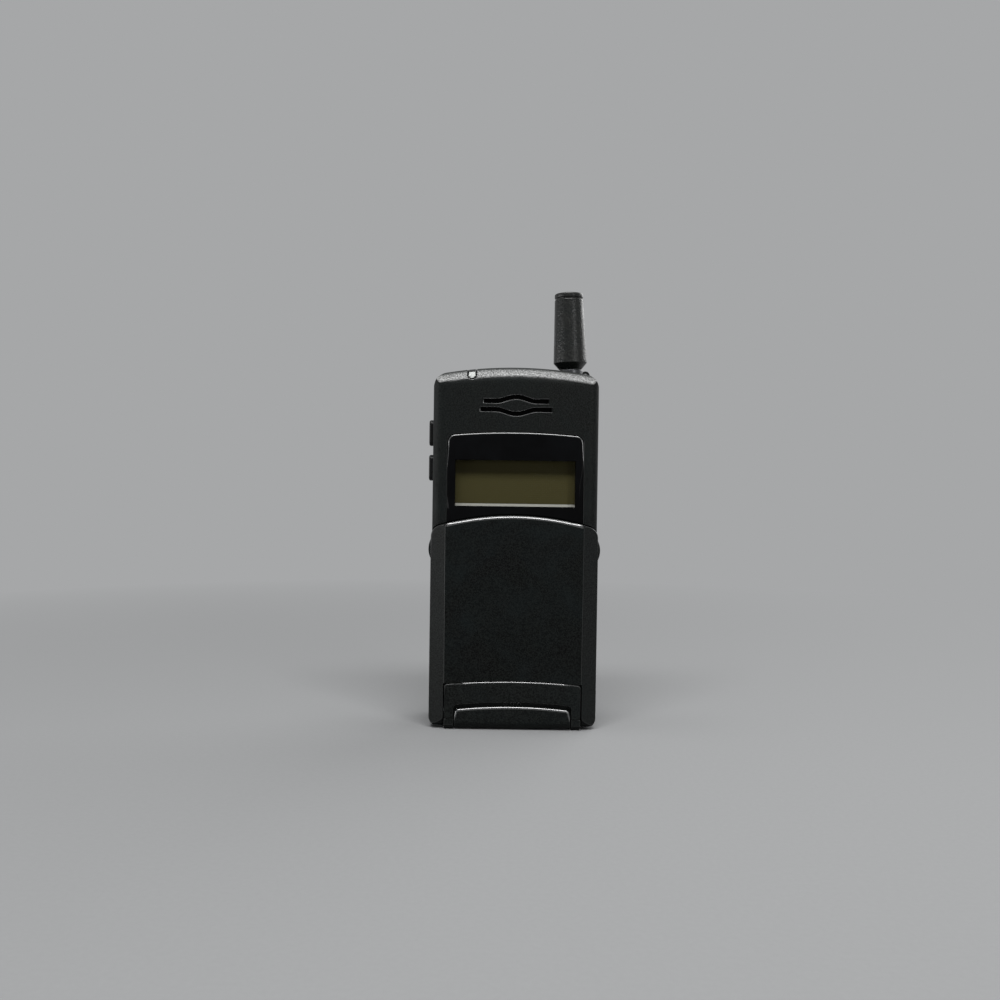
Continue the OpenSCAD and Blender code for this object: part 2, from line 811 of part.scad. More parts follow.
module front_cover() {
    color([0.11, 0.12, 0.12])
        difference() {
            union() {
                difference() {
                    union() {
                        difference() {
                            case_block(0);
                            block(-half_w - over, half_w + over, 0, rear_d + over, -over, body_h + over);
                            front_cavity();
                        }
                        along_y(face_y + wall / 2, bed_back_y)
                            window_outline(bed_margin);
                        at_screws()
                            rod_y(boss_r, deck_in_y - fit_gap, 0);
                        for (side = [-1, 1])
                            translate([side * screw_top_x, 0, screw_top_z])
                                rod_y(boss_r, face_y + wall / 2, 0);
                    }
                    along_y(face_y - over, deck_y)
                        lid_outline(lid_gap, -over);
                }
                hinge_core();
            }
            ear_notch();
            along_y(face_y - over, face_y + window_t)
                window_outline(fit_gap);
            block(-opening_half, opening_half, face_y, board_y, opening_low_z, opening_top_z);
            along_y(face_y - over, face_y + 2 * wall) {
                bowed_slot(ear_upper_half, ear_z + ear_pitch / 2, ear_bow);
                bowed_slot(ear_lower_half, ear_z - ear_pitch / 2, -ear_bow);
            }
            along_y(face_y - over, face_y + lens_pipe_d)
                lens_slot(fit_gap);
            for (key = deck_keys)
                translate([key[1], 0, key[2]])
                    along_y(deck_y - over, deck_in_y + over)
                        pill(key[3] + 2 * key_gap, key_h + 2 * key_gap);
            for (height = volume_heights)
                translate([0, volume_y, height])
                    along_x(-half_w - over, -inner_half + over)
                        rotate(90)
                            pill(volume_l + 2 * key_gap, volume_w + 2 * key_gap);
            at_screws()
                rod_y(screw_r + run_gap, -screw_l - fit_gap, over);
            both_sides()
                hinge_rod(pin_r + run_gap, pin_in - fit_gap, half_w);
            translate([0, 0, mic_z]) {
                rod_y(boot_r + run_gap, core_y + mic_wall, board_y);
                for (place = [-1:1])
                    translate([place * mic_port_pitch, 0, 0])
                        rod_y(mic_port_r, core_y - over, core_y + mic_wall + over);
            }
            antenna_holes();
            dock_hole();
        }
}

module antenna_holes() {
    at_antenna() {
        translate([0, 0, -bushing_l])
            cylinder(r = bushing_r + fit_gap, h = bushing_l + over);
        cylinder(r = collar_r + fit_gap, h = collar_h + over);
    }
}

module dock_hole() {
    block(-dock_half - fit_gap, dock_half + fit_gap, board_back_y - fit_gap,
        board_back_y + dock_d + fit_gap, -over, wall + over);
}

module rear_cavity() {
    difference() {
        case_block(wall);
        block(-half_w, half_w, face_y, -over, 0, body_h);
        block(-half_w, half_w, bay_in_y, rear_d, 0, bay_top_z + wall);
        both_sides()
            block(corner_half, half_w, -over, rear_d, 0, corner_top_z);
    }
}

module rear_cover() {
    color([0.1, 0.11, 0.11])
        difference() {
            union() {
                difference() {
                    case_block(0);
                    block(-half_w - over, half_w + over, face_y - over, 0, -over, body_h + over);
                    rear_cavity();
                }
                for (side = [-1, 1]) {
                    translate([side * screw_top_x, 0, screw_top_z])
                        rod_y(screw_head_r + fit_gap + screw_floor, 0, rear_d - wall / 2);
                    translate([side * screw_low_x, 0, screw_low_z])
                        rod_y(screw_head_r + fit_gap + screw_floor, 0, bay_d - wall / 2);
                }
            }
            block(-half_w - over, half_w + over, bay_d, rear_d + over, -over, bay_top_z);
            at_screws() {
                rod_y(screw_r + fit_gap, -over, rear_d);
                rod_y(screw_head_r + fit_gap, screw_seat_y, rear_d + over);
            }
            for (place = [-1:1])
                translate([place * contact_pitch, 0, contact_z])
                    rod_y(contact_r + fit_gap, 0, bay_d + over);
            block(-tongue_half - key_gap, tongue_half + key_gap, catch_front_y - lid_gap, rear_d + over,
                bay_top_z - over, battery_top_z + tongue_reach + key_gap);
            translate([lug_x, lug_back, 0])
                block(-lug_r - run_gap, lug_r + run_gap, -lug_t / 2 - run_gap, lug_t / 2 + run_gap,
                    lug_z - lug_root, body_h);
            antenna_holes();
            dock_hole();
        }
}

module display_window() {
    color([0.03, 0.03, 0.035])
        along_y(face_y, face_y + window_t)
            difference() {
                window_outline(0);
                lid_outline(lid_gap + fit_gap, -over);
            }
}

module lcd_glass() {
    color([0.3, 0.3, 0.2])
        block(-glass_half, glass_half, bed_back_y, bed_back_y + glass_t, glass_low_z, glass_top_z);
}

module lcd_frame() {
    color([0.85, 0.85, 0.82])
        difference() {
            block(-lcd_half, lcd_half, bed_back_y, board_y, lcd_low_z, lcd_top_z);
            block(-glass_half - fit_gap, glass_half + fit_gap, bed_back_y - over,
                bed_back_y + glass_t + run_gap, glass_low_z - run_gap, glass_top_z + fit_gap);
        }
}

module status_lens() {
    color([0.85, 0.88, 0.88])
        intersection() {
            case_block(0);
            along_y(face_y, face_y + lens_pipe_d)
                lens_slot(0);
        }
}

module earpiece_mesh() {
    margin = 1;
    reach = ear_pitch / 2 + ear_bow + ear_slot_h / 2 + margin;
    color([0.04, 0.04, 0.04])
        block(-ear_lower_half - margin, ear_lower_half + margin, face_y + wall, face_y + wall + mesh_t,
            ear_z - reach, ear_z + reach);
}

module earpiece() {
    back_step = 0.8;
    color([0.2, 0.2, 0.21])
        translate([0, 0, ear_z]) {
            rod_y(ear_capsule_r, face_y + wall + mesh_t, face_y + wall + ear_capsule_d);
            rod_y(ear_capsule_r - back_step, face_y + wall + mesh_t, board_y - run_gap);
        }
}

module strap_lug() {
    color([0.08, 0.08, 0.08])
        translate([lug_x, lug_back, lug_z])
            difference() {
                union() {
                    rod_y(lug_r, -lug_t / 2, lug_t / 2);
                    block(-lug_r, lug_r, -lug_t / 2, lug_t / 2, -lug_root, 0);
                    block(-lug_r, lug_r, -lug_t / 2 - lug_foot, lug_t / 2 + lug_foot,
                        -lug_root - lug_foot_h, -lug_root);
                }
                rod_y(lug_hole_r, -lug_t, lug_t);
            }
}

module case_screws() {
    color([0.6, 0.6, 0.62])
        at_screws() {
            rod_y(screw_r, -screw_l, screw_seat_y + screw_head_h / 2);
            difference() {
                rod_y(screw_head_r, screw_seat_y, screw_seat_y + screw_head_h);
                along_y(screw_seat_y + screw_head_h / 2, screw_seat_y + screw_head_h + over)
                    circle(screw_head_r / 2, $fn = 6);
            }
        }
}

// Board and what it carries

module main_board() {
    foot_half = corner_half - lid_gap;
    color([0.1, 0.35, 0.2])
        difference() {
            union() {
                block(-board_half, board_half, board_y, board_back_y, corner_top_z + lid_gap, board_top_z);
                block(-foot_half, foot_half, board_y, board_back_y, board_low_z, corner_top_z + over);
            }
            at_screws()
                rod_y(boss_r + lid_gap, board_y - over, board_back_y + over);
            both_sides()
                translate([half_w, 0, body_h])
                    rod_y(case_corner_r + board_side_gap, board_y - over, board_back_y + over);
        }
}

module shield_can(low_z, top_z) {
    skin = 0.3;
    color([0.75, 0.75, 0.77])
        difference() {
            block(shield_left, shield_right, board_back_y, board_back_y + shield_h, low_z, top_z);
            block(shield_left + skin, shield_right - skin, board_back_y - over,
                board_back_y + shield_h - skin, low_z + skin, top_z - skin);
        }
}

module rf_shield() {
    shield_can(rf_low_z, rf_top_z);
}

module logic_shield() {
    shield_can(logic_low_z, logic_top_z);
}

module buzzer() {
    port_r = 0.9;
    port_d = 1;
    color([0.05, 0.05, 0.05])
        translate([-buzzer_x, 0, buzzer_z])
            difference() {
                rod_y(buzzer_r, board_back_y, board_back_y + buzzer_h);
                rod_y(port_r, board_back_y + buzzer_h - port_d, board_back_y + buzzer_h + over);
            }
}

module microphone() {
    front_y = core_y + mic_wall + boot_t;
    color([0.75, 0.75, 0.72])
        translate([0, 0, mic_z])
            rod_y(mic_r, front_y, front_y + mic_d);
}

module microphone_boot() {
    front_y = core_y + mic_wall;
    color([0.06, 0.06, 0.06])
        translate([0, 0, mic_z])
            difference() {
                rod_y(boot_r, front_y, front_y + boot_t + mic_d);
                rod_y(mic_r + run_gap / 2, front_y + boot_t, front_y + boot_t + mic_d + over);
                for (place = [-1:1])
                    translate([place * mic_port_pitch, 0, 0])
                        rod_y(mic_port_r, front_y - over, front_y + boot_t + over);
            }
}

module dock_connector() {
    color([0.07, 0.07, 0.07])
        block(-dock_half, dock_half, board_back_y, board_back_y + dock_d, dock_sink, dock_sink + dock_h);
}

module dock_contacts() {
    middle_y = board_back_y + dock_d / 2;
    color([0.83, 0.68, 0.3])
        for (place = [0:dock_count - 1])
            translate([(place - (dock_count - 1) / 2) * dock_pitch, 0, 0])
                block(-dock_pad_w / 2, dock_pad_w / 2, middle_y - dock_pad_l / 2, middle_y + dock_pad_l / 2,
                    dock_sink - dock_pad_t, dock_sink);
}

module battery_contacts() {
    color([0.83, 0.68, 0.3])
        for (place = [-1:1])
            translate([place * contact_pitch, 0, contact_z])
                rod_y(contact_r, board_back_y, battery_y);
}

module hook_switch() {
    color([0.7, 0.75, 0.72])
        block(-magnet_x - hook_l / 2, -magnet_x + hook_l / 2, board_y - hook_w, board_y,
            mat_top_z + fit_gap, mat_top_z + fit_gap + hook_w);
}

module side_switches() {
    switch_h = 2.4;
    switch_half = 2.5;
    color([0.7, 0.7, 0.7])
        for (height = volume_heights)
            block(switch_x, switch_x + switch_d, board_y - switch_h, board_y, height - switch_half,
                height + switch_half);
}

// Lid and hinge

module lid_section(back_y) {
    slope_x = crease_x + crease_step;
    polygon([
        [-lid_half, back_y], [lid_half, back_y],
        [lid_half, strip_edge_y], [slope_x, lid_front_y + crease_step],
        [crease_x, lid_front_y], [-crease_x, lid_front_y],
        [-slope_x, lid_front_y + crease_step], [-lid_half, strip_edge_y]]);
}

// Small bulge on the lid's side edge for a fingernail
module lift_nub() {
    along_y(strip_edge_y + nub_step, lid_back_y)
        intersection() {
            translate([lid_half + nub_proud - nub_r, nub_z])
                circle(nub_r);
            translate([lid_half - over, nub_z - nub_l / 2])
                square([nub_proud + over, nub_l]);
        }
}

module lid_ear() {
    at_hinge()
        rotate_extrude()
            intersection() {
                two_radius(ear_r, 0, lid_half, over, ear_edge_r);
                translate([0, arm_in])
                    square([ear_r, lid_half]);
            }
}

module flip_lid() {
    color([0.08, 0.09, 0.09])
        difference() {
            union() {
                intersection() {
                    along_y(lid_front_y, lid_back_y)
                        lid_outline(0, hinge_z);
                    along_z(0, lid_top_z + over)
                        lid_section(lid_back_y);
                }
                intersection() {
                    both_sides()
                        lid_ear();
                    along_z(-over, hinge_z + ear_r + over)
                        lid_section(0);
                }
                both_sides()
                    lift_nub();
            }
            intersection() {
                along_y(lid_in_y, lid_back_y + over)
                    crowned(crease_x - lid_gap, 0, lid_arch_r - lid_rim, lid_arch_base,
                        lid_corner_r - lid_rim);
                block(-half_w, half_w, lid_in_y - over, lid_back_y + over, 0, lid_top_z);
            }
            hinge_barrel(arm_in, lid_gap);
            both_sides()
                hinge_rod(pin_r + run_gap, cover_half, pin_out + fit_gap);
            translate([-magnet_x, 0, magnet_z])
                rod_y(magnet_r + fit_gap, lid_in_y - magnet_t - fit_gap, lid_in_y + over);
        }
}

module hinge_pins() {
    color([0.7, 0.7, 0.72])
        both_sides()
            hinge_rod(pin_r, pin_in, pin_out);
}

module hinge_cover() {
    color([0.09, 0.1, 0.1])
        difference() {
            intersection() {
                hinge_barrel(cover_half, 0);
                block(-cover_half, cover_half, lid_front_y, deck_y - fit_gap, cover_low_z, barrel_top_z);
            }
            intersection() {
                hinge_barrel(cover_half + over, -cover_t);
                block(-half_w, half_w, core_y, deck_y + over, 0, barrel_top_z);
            }
            along_y(lid_front_y - over, core_y + over)
                cutout_outline(0);
        }
}

module mouthpiece_bar() {
    color([0.09, 0.1, 0.1])
        intersection() {
            along_y(lid_front_y - over, core_y + over)
                crowned(cutout_half - bar_inset, 0, cutout_arch_r,
                    cutout_top_z - mouth_slot_h - cutout_arch_r, cutout_corner_r);
            along_x(-half_w, half_w)
                intersection() {
                    toe_outline(lid_front_y);
                    translate([lid_front_y - over, toe_lift])
                        square([cover_t + over, cutout_top_z]);
                }
        }
}

module lid_magnet() {
    color([0.5, 0.5, 0.52])
        translate([-magnet_x, 0, magnet_z])
            rod_y(magnet_r, lid_in_y - magnet_t, lid_in_y);
}

// Keys

module deck_key(key) {
    color([0.16, 0.17, 0.17])
        translate([key[1], 0, key[2]]) {
            along_y(deck_y - key_proud, key_flange_y + key_flange_t)
                pill(key[3], key_h);
            along_y(key_flange_y, key_flange_y + key_flange_t)
                pill(key[3] + 2 * key_flange, key_h + 2 * key_flange);
            rod_y(key_stem_r, key_flange_y, key_stem_end_y);
        }
}

module keypad_mat() {
    color([0.25, 0.26, 0.27])
        along_y(deck_in_y, board_y - dome_sheet_t)
            difference() {
                translate([-mat_half, mat_low_z])
                    square([2 * mat_half, mat_top_z - mat_low_z]);
                for (key = deck_keys)
                    translate([key[1], key[2]])
                        pill(key[3] + 2 * (key_flange + mat_gap), key_h + 2 * (key_flange + mat_gap));
            }
}

module dome_sheet() {
    color([0.8, 0.75, 0.5]) {
        along_y(board_y - dome_sheet_t, board_y)
            translate([-mat_half, mat_low_z])
                square([2 * mat_half, mat_top_z - mat_low_z]);
        for (key = deck_keys)
            translate([key[1], 0, key[2]])
                rod_y(dome_r, dome_top_y, board_y);
    }
}

module volume_key(height) {
    flange_x = -inner_half + key_float;
    color([0.05, 0.05, 0.05])
        translate([0, volume_y, height]) {
            along_x(-half_w - volume_proud, flange_x + volume_flange)
                rotate(90)
                    pill(volume_l, volume_w);
            along_x(flange_x, flange_x + volume_flange)
                rotate(90)
                    pill(volume_l + 2 * volume_flange, volume_w + 2 * volume_flange);
        }
}

module volume_key_up() {
    volume_key(volume_up_z);
}

module volume_key_down() {
    volume_key(volume_down_z);
}

// Antenna

module antenna_stub() {
    color([0.07, 0.07, 0.07])
        at_antenna()
            difference() {
                rotate_extrude()
                    polygon([
                        [0, stub_low], [stub_foot_r, stub_low], [stub_r, stub_low + stub_slope_h],
                        [stub_top_r, stub_top], [0, stub_top]]);
                translate([0, 0, coil_low])
                    difference() {
                        cylinder(r = coil_r + coil_t + fit_gap, h = stub_l);
                        cylinder(r = coil_r - fit_gap, h = stub_top - coil_low);
                    }
                translate([0, 0, stub_low - over])
                    cylinder(r = whip_r + run_gap, h = stub_l - over);
            }
}

module antenna_cap() {
    color([0.06, 0.06, 0.06])
        at_antenna() {
            translate([0, 0, stub_top])
                cylinder(r = stub_top_r - cap_groove_d, h = cap_groove_h + cap_t / 2);
            translate([0, 0, stub_top + cap_groove_h])
                cylinder(r = stub_top_r, h = cap_t);
        }
}

module antenna_whip() {
    color([0.75, 0.75, 0.78])
        at_antenna() {
            translate([0, 0, bead_top - bead_l])
                cylinder(r = bead_r, h = bead_l);
            translate([0, 0, bead_top - bead_l / 2])
                cylinder(r = whip_r, h = stub_top - 2 * over - bead_top);
        }
}

module antenna_coil() {
    color([0.72, 0.45, 0.25])
        at_antenna()
            translate([0, 0, coil_low])
                difference() {
                    cylinder(r = coil_r + coil_t, h = coil_l);
                    translate([0, 0, -over])
                        cylinder(r = coil_r, h = coil_l + 2 * over);
                }
}

module antenna_bushing() {
    color([0.6, 0.6, 0.62])
        at_antenna()
            difference() {
                union() {
                    translate([0, 0, -bushing_l])
                        cylinder(r = bushing_r, h = bushing_l + over);
                    cylinder(r = collar_r, h = collar_h);
                }
                translate([0, 0, -bushing_l - over])
                    cylinder(r = whip_r + run_gap, h = bushing_l + collar_h + 2 * over);
            }
}

module antenna_guide() {
    low = bead_top - bead_l - over;
    color([0.85, 0.85, 0.8])
        at_antenna()
            translate([0, 0, low])
                difference() {
                    cylinder(r = guide_r, h = -bushing_l - low);
                    translate([0, 0, -over])
                        cylinder(r = guide_in_r, h = -bushing_l - low + 2 * over);
                }
}

// Battery

module battery_block(inset) {
    reach = half_w - inset;
    back = battery_back - inset;
    intersection() {
        along_y(battery_y, back)
            two_radius(reach, inset, battery_top_z - inset, foot_corner_r - inset, battery_edge_r);
        along_z(-over, battery_top_z + over)
            two_radius(reach, battery_y - over, back, battery_edge_r, back_edge_r - inset);
        along_x(-half_w, half_w)
            battery_side(inset);
    }
}

// Side profile of the battery, rounded at both ends of its back
module battery_side(inset) {
    back = battery_back - inset;
    low_r = battery_toe_r - inset;
    high_r = max(battery_brow_r - inset, least_r);
    low = inset;
    high = battery_top_z - inset;
    translate([battery_y - over, low])
        square([back - low_r - high_r - battery_y + over, high - low]);
    translate([battery_y - over, low + low_r])
        square([back - battery_y + over, high - low - low_r - high_r]);
    translate([back - low_r, low + low_r])
        circle(low_r);
    translate([back - high_r, high - high_r])
        circle(high_r);
    translate([back - low_r - high_r - over, high - high_r - over])
        square([low_r + over, high_r + over]);
}

module battery_case() {
    color([0.1, 0.11, 0.11])
        difference() {
            battery_block(0);
            battery_block(battery_wall);
            block(-catch_half - key_gap, catch_half + key_gap, battery_back - battery_wall - over,
                battery_back + over, catch_z - catch_h / 2 - catch_travel - key_gap,
                catch_z + catch_h / 2 + key_gap);
            block(-tongue_half - key_gap, tongue_half + key_gap, catch_front_y - key_gap,
                catch_back_y + key_gap, battery_cavity_top_z - over, battery_top_z + over);
        }
}

module battery_lid() {
    inset = battery_wall + fit_gap;
    color([0.12, 0.13, 0.13])
        difference() {
            along_y(battery_y, battery_cavity_y)
                two_radius(half_w - inset, inset, battery_top_z - inset, foot_corner_r - inset,
                    battery_edge_r);
            for (place = [-1:1])
                translate([place * contact_pitch, 0, contact_z])
                    block(-terminal_w / 2 - fit_gap, terminal_w / 2 + fit_gap, battery_y - over,
                        battery_y + run_gap + terminal_t, -terminal_h / 2 - fit_gap,
                        terminal_h / 2 + fit_gap);
        }
}

module battery_cells() {
    color([0.55, 0.57, 0.6])
        for (place = [0:cell_count - 1])
            translate([(place - (cell_count - 1) / 2) * (cell_w + cell_gap), 0, 0])
                block(-cell_w / 2, cell_w / 2, battery_cavity_y, battery_back - battery_wall - fit_gap,
                    cell_low_z, cell_low_z + cell_l);
}

module battery_terminals() {
    color([0.83, 0.68, 0.3])
        for (place = [-1:1])
            translate([place * contact_pitch, 0, contact_z])
                block(-terminal_w / 2, terminal_w / 2, battery_y + run_gap,
                    battery_y + run_gap + terminal_t, -terminal_h / 2, terminal_h / 2);
}

module battery_catch() {
    rib_h = 0.6;
    rib_pitch = 1.3;
    rib_margin = 1;
    rib_half = catch_half - rib_margin;
    lip_half = catch_half + catch_lip;
    color([0.07, 0.07, 0.07])
        translate([0, 0, catch_z]) {
            block(-catch_half, catch_half, catch_front_y, battery_back - catch_sink,
                -catch_h / 2, catch_h / 2);
            for (place = [-1:1])
                translate([0, 0, place * rib_pitch])
                    block(-rib_half, rib_half, catch_back_y, battery_back - key_float,
                        -rib_h / 2, rib_h / 2);
            block(-lip_half, lip_half, catch_front_y, catch_back_y, -catch_lip_z, catch_lip_z);
            block(-tongue_half, tongue_half, catch_front_y, catch_back_y, 0, catch_drop + tongue_reach);
        }
}

front_cover();
rear_cover();
display_window();
lcd_glass();
lcd_frame();
status_lens();
earpiece_mesh();
earpiece();
strap_lug();
case_screws();
main_board();
rf_shield();
logic_shield();
buzzer();
microphone();
microphone_boot();
dock_connector();
dock_contacts();
battery_contacts();
flip_lid();
hinge_pins();
hinge_cover();
mouthpiece_bar();
lid_magnet();
hook_switch();
keypad_mat();
dome_sheet();
volume_key_up();
volume_key_down();
side_switches();
antenna_stub();
antenna_cap();
antenna_whip();
antenna_coil();
antenna_bushing();
antenna_guide();
battery_case();
battery_lid();
battery_cells();
battery_terminals();
battery_catch();
for (key = deck_keys)
    deck_key(key);
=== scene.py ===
"""Flip phone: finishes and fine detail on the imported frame.

Metres, in the frame's own axes: +Z is up and the front faces -Y.
"""
import json
from math import radians

import bmesh
import bpy
from mathutils import Matrix, Vector
from mathutils.bvhtree import BVHTree

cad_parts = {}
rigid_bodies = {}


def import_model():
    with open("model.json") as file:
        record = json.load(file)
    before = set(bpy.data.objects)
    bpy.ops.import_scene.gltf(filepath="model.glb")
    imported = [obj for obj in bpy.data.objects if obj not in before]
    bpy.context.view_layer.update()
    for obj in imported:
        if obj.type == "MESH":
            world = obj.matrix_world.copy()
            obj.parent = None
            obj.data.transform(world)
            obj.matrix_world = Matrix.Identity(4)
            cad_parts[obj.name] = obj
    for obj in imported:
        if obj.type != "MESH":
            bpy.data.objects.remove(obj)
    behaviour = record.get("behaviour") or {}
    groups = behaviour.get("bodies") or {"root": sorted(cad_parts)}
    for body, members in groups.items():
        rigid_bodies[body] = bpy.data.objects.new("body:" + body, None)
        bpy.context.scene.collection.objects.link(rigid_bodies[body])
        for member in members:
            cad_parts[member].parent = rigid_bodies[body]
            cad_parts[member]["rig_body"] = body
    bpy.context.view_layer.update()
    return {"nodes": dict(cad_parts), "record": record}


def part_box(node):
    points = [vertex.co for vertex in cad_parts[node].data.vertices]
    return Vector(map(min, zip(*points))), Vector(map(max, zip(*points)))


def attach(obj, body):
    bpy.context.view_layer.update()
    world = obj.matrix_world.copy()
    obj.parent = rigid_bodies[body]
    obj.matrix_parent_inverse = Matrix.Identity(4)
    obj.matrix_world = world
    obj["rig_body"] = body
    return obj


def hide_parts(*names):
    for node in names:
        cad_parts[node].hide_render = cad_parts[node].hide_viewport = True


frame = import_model()
MM = 0.001
scene = bpy.context.scene

# Camera, at the photograph's place and angle

LENS = 36
SENSOR = 36
EYE = Vector((-4.4, -299, 70.7)) * MM
TILT = radians(0.86)
ROLL = radians(-0.8)

camera = bpy.data.objects.new("camera", bpy.data.cameras.new("camera"))
camera.data.lens = LENS
camera.data.sensor_width = SENSOR
camera.data.clip_start = 1 * MM
camera.data.clip_end = 100
camera.location = EYE
camera.rotation_euler = (radians(90) - TILT, ROLL, 0)
scene.collection.objects.link(camera)
scene.camera = camera
scene.view_settings.view_transform = "Standard"


# Shader tools


def tint(red, green, blue):
    """A colour as it shows on a screen, from 0 to 255, as the linear colour that shaders take."""
    def linear(value):
        share = value / 255
        return share / 12.92 if share <= 0.04045 else ((share + 0.055) / 1.055) ** 2.4
    return (linear(red), linear(green), linear(blue), 1.0)


def shade(colour, factor):
    """A colour made darker or paler by a factor."""
    return tuple(channel * factor for channel in colour[:3]) + (1.0,)


def feed(tree, socket, value):
    """Wire a socket from another socket, or set it to a plain value."""
    if isinstance(value, bpy.types.NodeSocket):
        tree.links.new(value, socket)
    else:
        socket.default_value = value


def put(tree, kind, sockets=None, **settings):
    """Add one node, with its settings and its input sockets by name."""
    node = tree.nodes.new("ShaderNode" + kind)
    for name, value in settings.items():
        setattr(node, name, value)
    for name, value in (sockets or {}).items():
        feed(tree, node.inputs[name], value)
    return node


def reckon(tree, operation, first, second=0.0):
    """One sum on two values."""
    node = put(tree, "Math", operation=operation)
    feed(tree, node.inputs[0], first)
    feed(tree, node.inputs[1], second)
    return node.outputs[0]


def mix_colours(tree, share, first, second):
    """The first colour where the share is 0, the second where it is 1."""
    node = put(tree, "Mix", data_type="RGBA")
    feed(tree, node.inputs[0], share)
    feed(tree, node.inputs[6], first)
    feed(tree, node.inputs[7], second)
    return node.outputs[2]


def mix_shaders(tree, share, first, second, target):
    """Send a mix of two shaders to an output node."""
    mixed = put(tree, "MixShader")
    feed(tree, mixed.inputs[0], share)
    feed(tree, mixed.inputs[1], first)
    feed(tree, mixed.inputs[2], second)
    feed(tree, target.inputs["Surface"], mixed.outputs[0])


def remap(tree, value, low, high, to_low=0.0, to_high=1.0):
    """A value stretched from one range to another, and held inside it."""
    node = put(tree, "MapRange", {"Value": value, "From Min": low, "From Max": high,
                                  "To Min": to_low, "To Max": to_high})
    return node.outputs[0]


def surface_point(tree):
    """Place on the piece in metres, so a pattern moves with the piece."""
    return put(tree, "TexCoord").outputs["Object"]


def new_group(name, inputs, outputs):
    """An empty effect with named inputs and outputs, and its two end nodes."""
    group = bpy.data.node_groups.new(name, "ShaderNodeTree")
    for label, value in inputs.items():
        socket = group.interface.new_socket(label, in_out="INPUT", socket_type="NodeSocketFloat")
        socket.default_value = value
    for label in outputs:
        group.interface.new_socket(label, in_out="OUTPUT", socket_type="NodeSocketFloat")
    return group, group.nodes.new("NodeGroupInput").outputs, group.nodes.new("NodeGroupOutput").inputs


def use(tree, group, **inputs):
    """Place an effect in a material with its own values."""
    node = put(tree, "Group", node_tree=group)
    for label, value in inputs.items():
        feed(tree, node.inputs[label.replace("_", " ")], value)
    return node.outputs


def new_finish(name):
    """A new material, with its tree and its Principled shader."""
    material = bpy.data.materials.new(name)
    material.use_nodes = True
    return material, material.node_tree, material.node_tree.nodes["Principled BSDF"]


# Effects that several finishes share


def moulded_grain():
    """Pebbled skin left by an etched mould, as a height and a change of tone."""
    group, given, out = new_group("moulded grain", {"Grains": 4000}, ["Height", "Tone"])
    place = surface_point(group)
    pebbles = put(group, "TexVoronoi", {"Vector": place, "Scale": given["Grains"], "Randomness": 1.0},
                  feature="SMOOTH_F1")
    coarse = reckon(group, "MULTIPLY", given["Grains"], 1.25)
    cloud = put(group, "TexNoise", {"Vector": place, "Scale": coarse, "Detail": 2.0, "Roughness": 0.6})
    hump = remap(group, pebbles.outputs["Distance"], 0.0, 0.75, 1.0, 0.0)
    feed(group, out["Height"], reckon(group, "ADD", hump, cloud.outputs[0]))
    feed(group, out["Tone"], remap(group, cloud.outputs[0], 0.4, 0.6))
    return group


def handling_marks():
    """Soft patches where fingers have polished or dulled the skin."""
    group, given, out = new_group("handling marks", {"Patches": 45, "Spread": 0.2}, ["Smear"])
    place = surface_point(group)
    patch = put(group, "TexNoise", {"Vector": place, "Scale": given["Patches"], "Detail": 4.0,
                                    "Roughness": 0.62, "Distortion": 0.7})
    low = reckon(group, "SUBTRACT", 0.55, given["Spread"])
    high = reckon(group, "ADD", 0.55, given["Spread"])
    smear = put(group, "MapRange", {"Value": patch.outputs[0], "From Min": low, "From Max": high},
                interpolation_type="SMOOTHSTEP")
    feed(group, out["Smear"], smear.outputs[0])
    return group


def dust_specks():
    """Scattered specks of dust, few and small."""
    group, given, out = new_group("dust specks", {"Specks": 240, "Amount": 0.3, "Radius": 0.05}, ["Mask"])
    place = surface_point(group)
    cells = put(group, "TexVoronoi", {"Vector": place, "Scale": given["Specks"], "Randomness": 1.0})
    spot = put(group, "MapRange", {"Value": cells.outputs["Distance"], "From Min": given["Radius"],
                                   "From Max": reckon(group, "MULTIPLY", given["Radius"], 0.5)})
    lot = put(group, "SeparateColor", {"Color": cells.outputs["Color"]})
    chosen = reckon(group, "LESS_THAN", lot.outputs[0], given["Amount"])
    feed(group, out["Mask"], reckon(group, "MULTIPLY", spot.outputs[0], chosen))
    return group


BEND_START, BEND_FULL = 0.16, 0.72
TOP_BENT, TOP_FLAT = 0.75, 0.97


def crown_polish_and_highlight():
    """Where a moulding bends up into its top, a mask for grain that hands have made shiny, which the finishes
    use for a coat and to paint the colour a little paler: partly wear, partly a painted highlight.
    """
    group, given, out = new_group("crown polish and painted highlight", {"Grains": 3000, "Shine": 1.0}, ["Polish"])
    texture = put(group, "TexCoord").outputs
    upward = put(group, "SeparateXYZ", {"Vector": texture["Normal"]}).outputs["Z"]
    turned = put(group, "MapRange", {"Value": upward, "From Min": BEND_START, "From Max": BEND_FULL},
                 interpolation_type="SMOOTHSTEP").outputs[0]
    bent = put(group, "MapRange", {"Value": upward, "From Min": TOP_FLAT, "From Max": TOP_BENT},
               interpolation_type="SMOOTHSTEP").outputs[0]
    speck = put(group, "TexNoise", {"Vector": texture["Object"], "Scale": given["Grains"], "Detail": 2.0})
    spark = remap(group, speck.outputs[0], 0.38, 0.62, 0.25, 1.0)
    bend = reckon(group, "MULTIPLY", turned, bent)
    shone = reckon(group, "MULTIPLY", bend, spark)
    feed(group, out["Polish"], reckon(group, "MULTIPLY", shone, given["Shine"]))
    return group


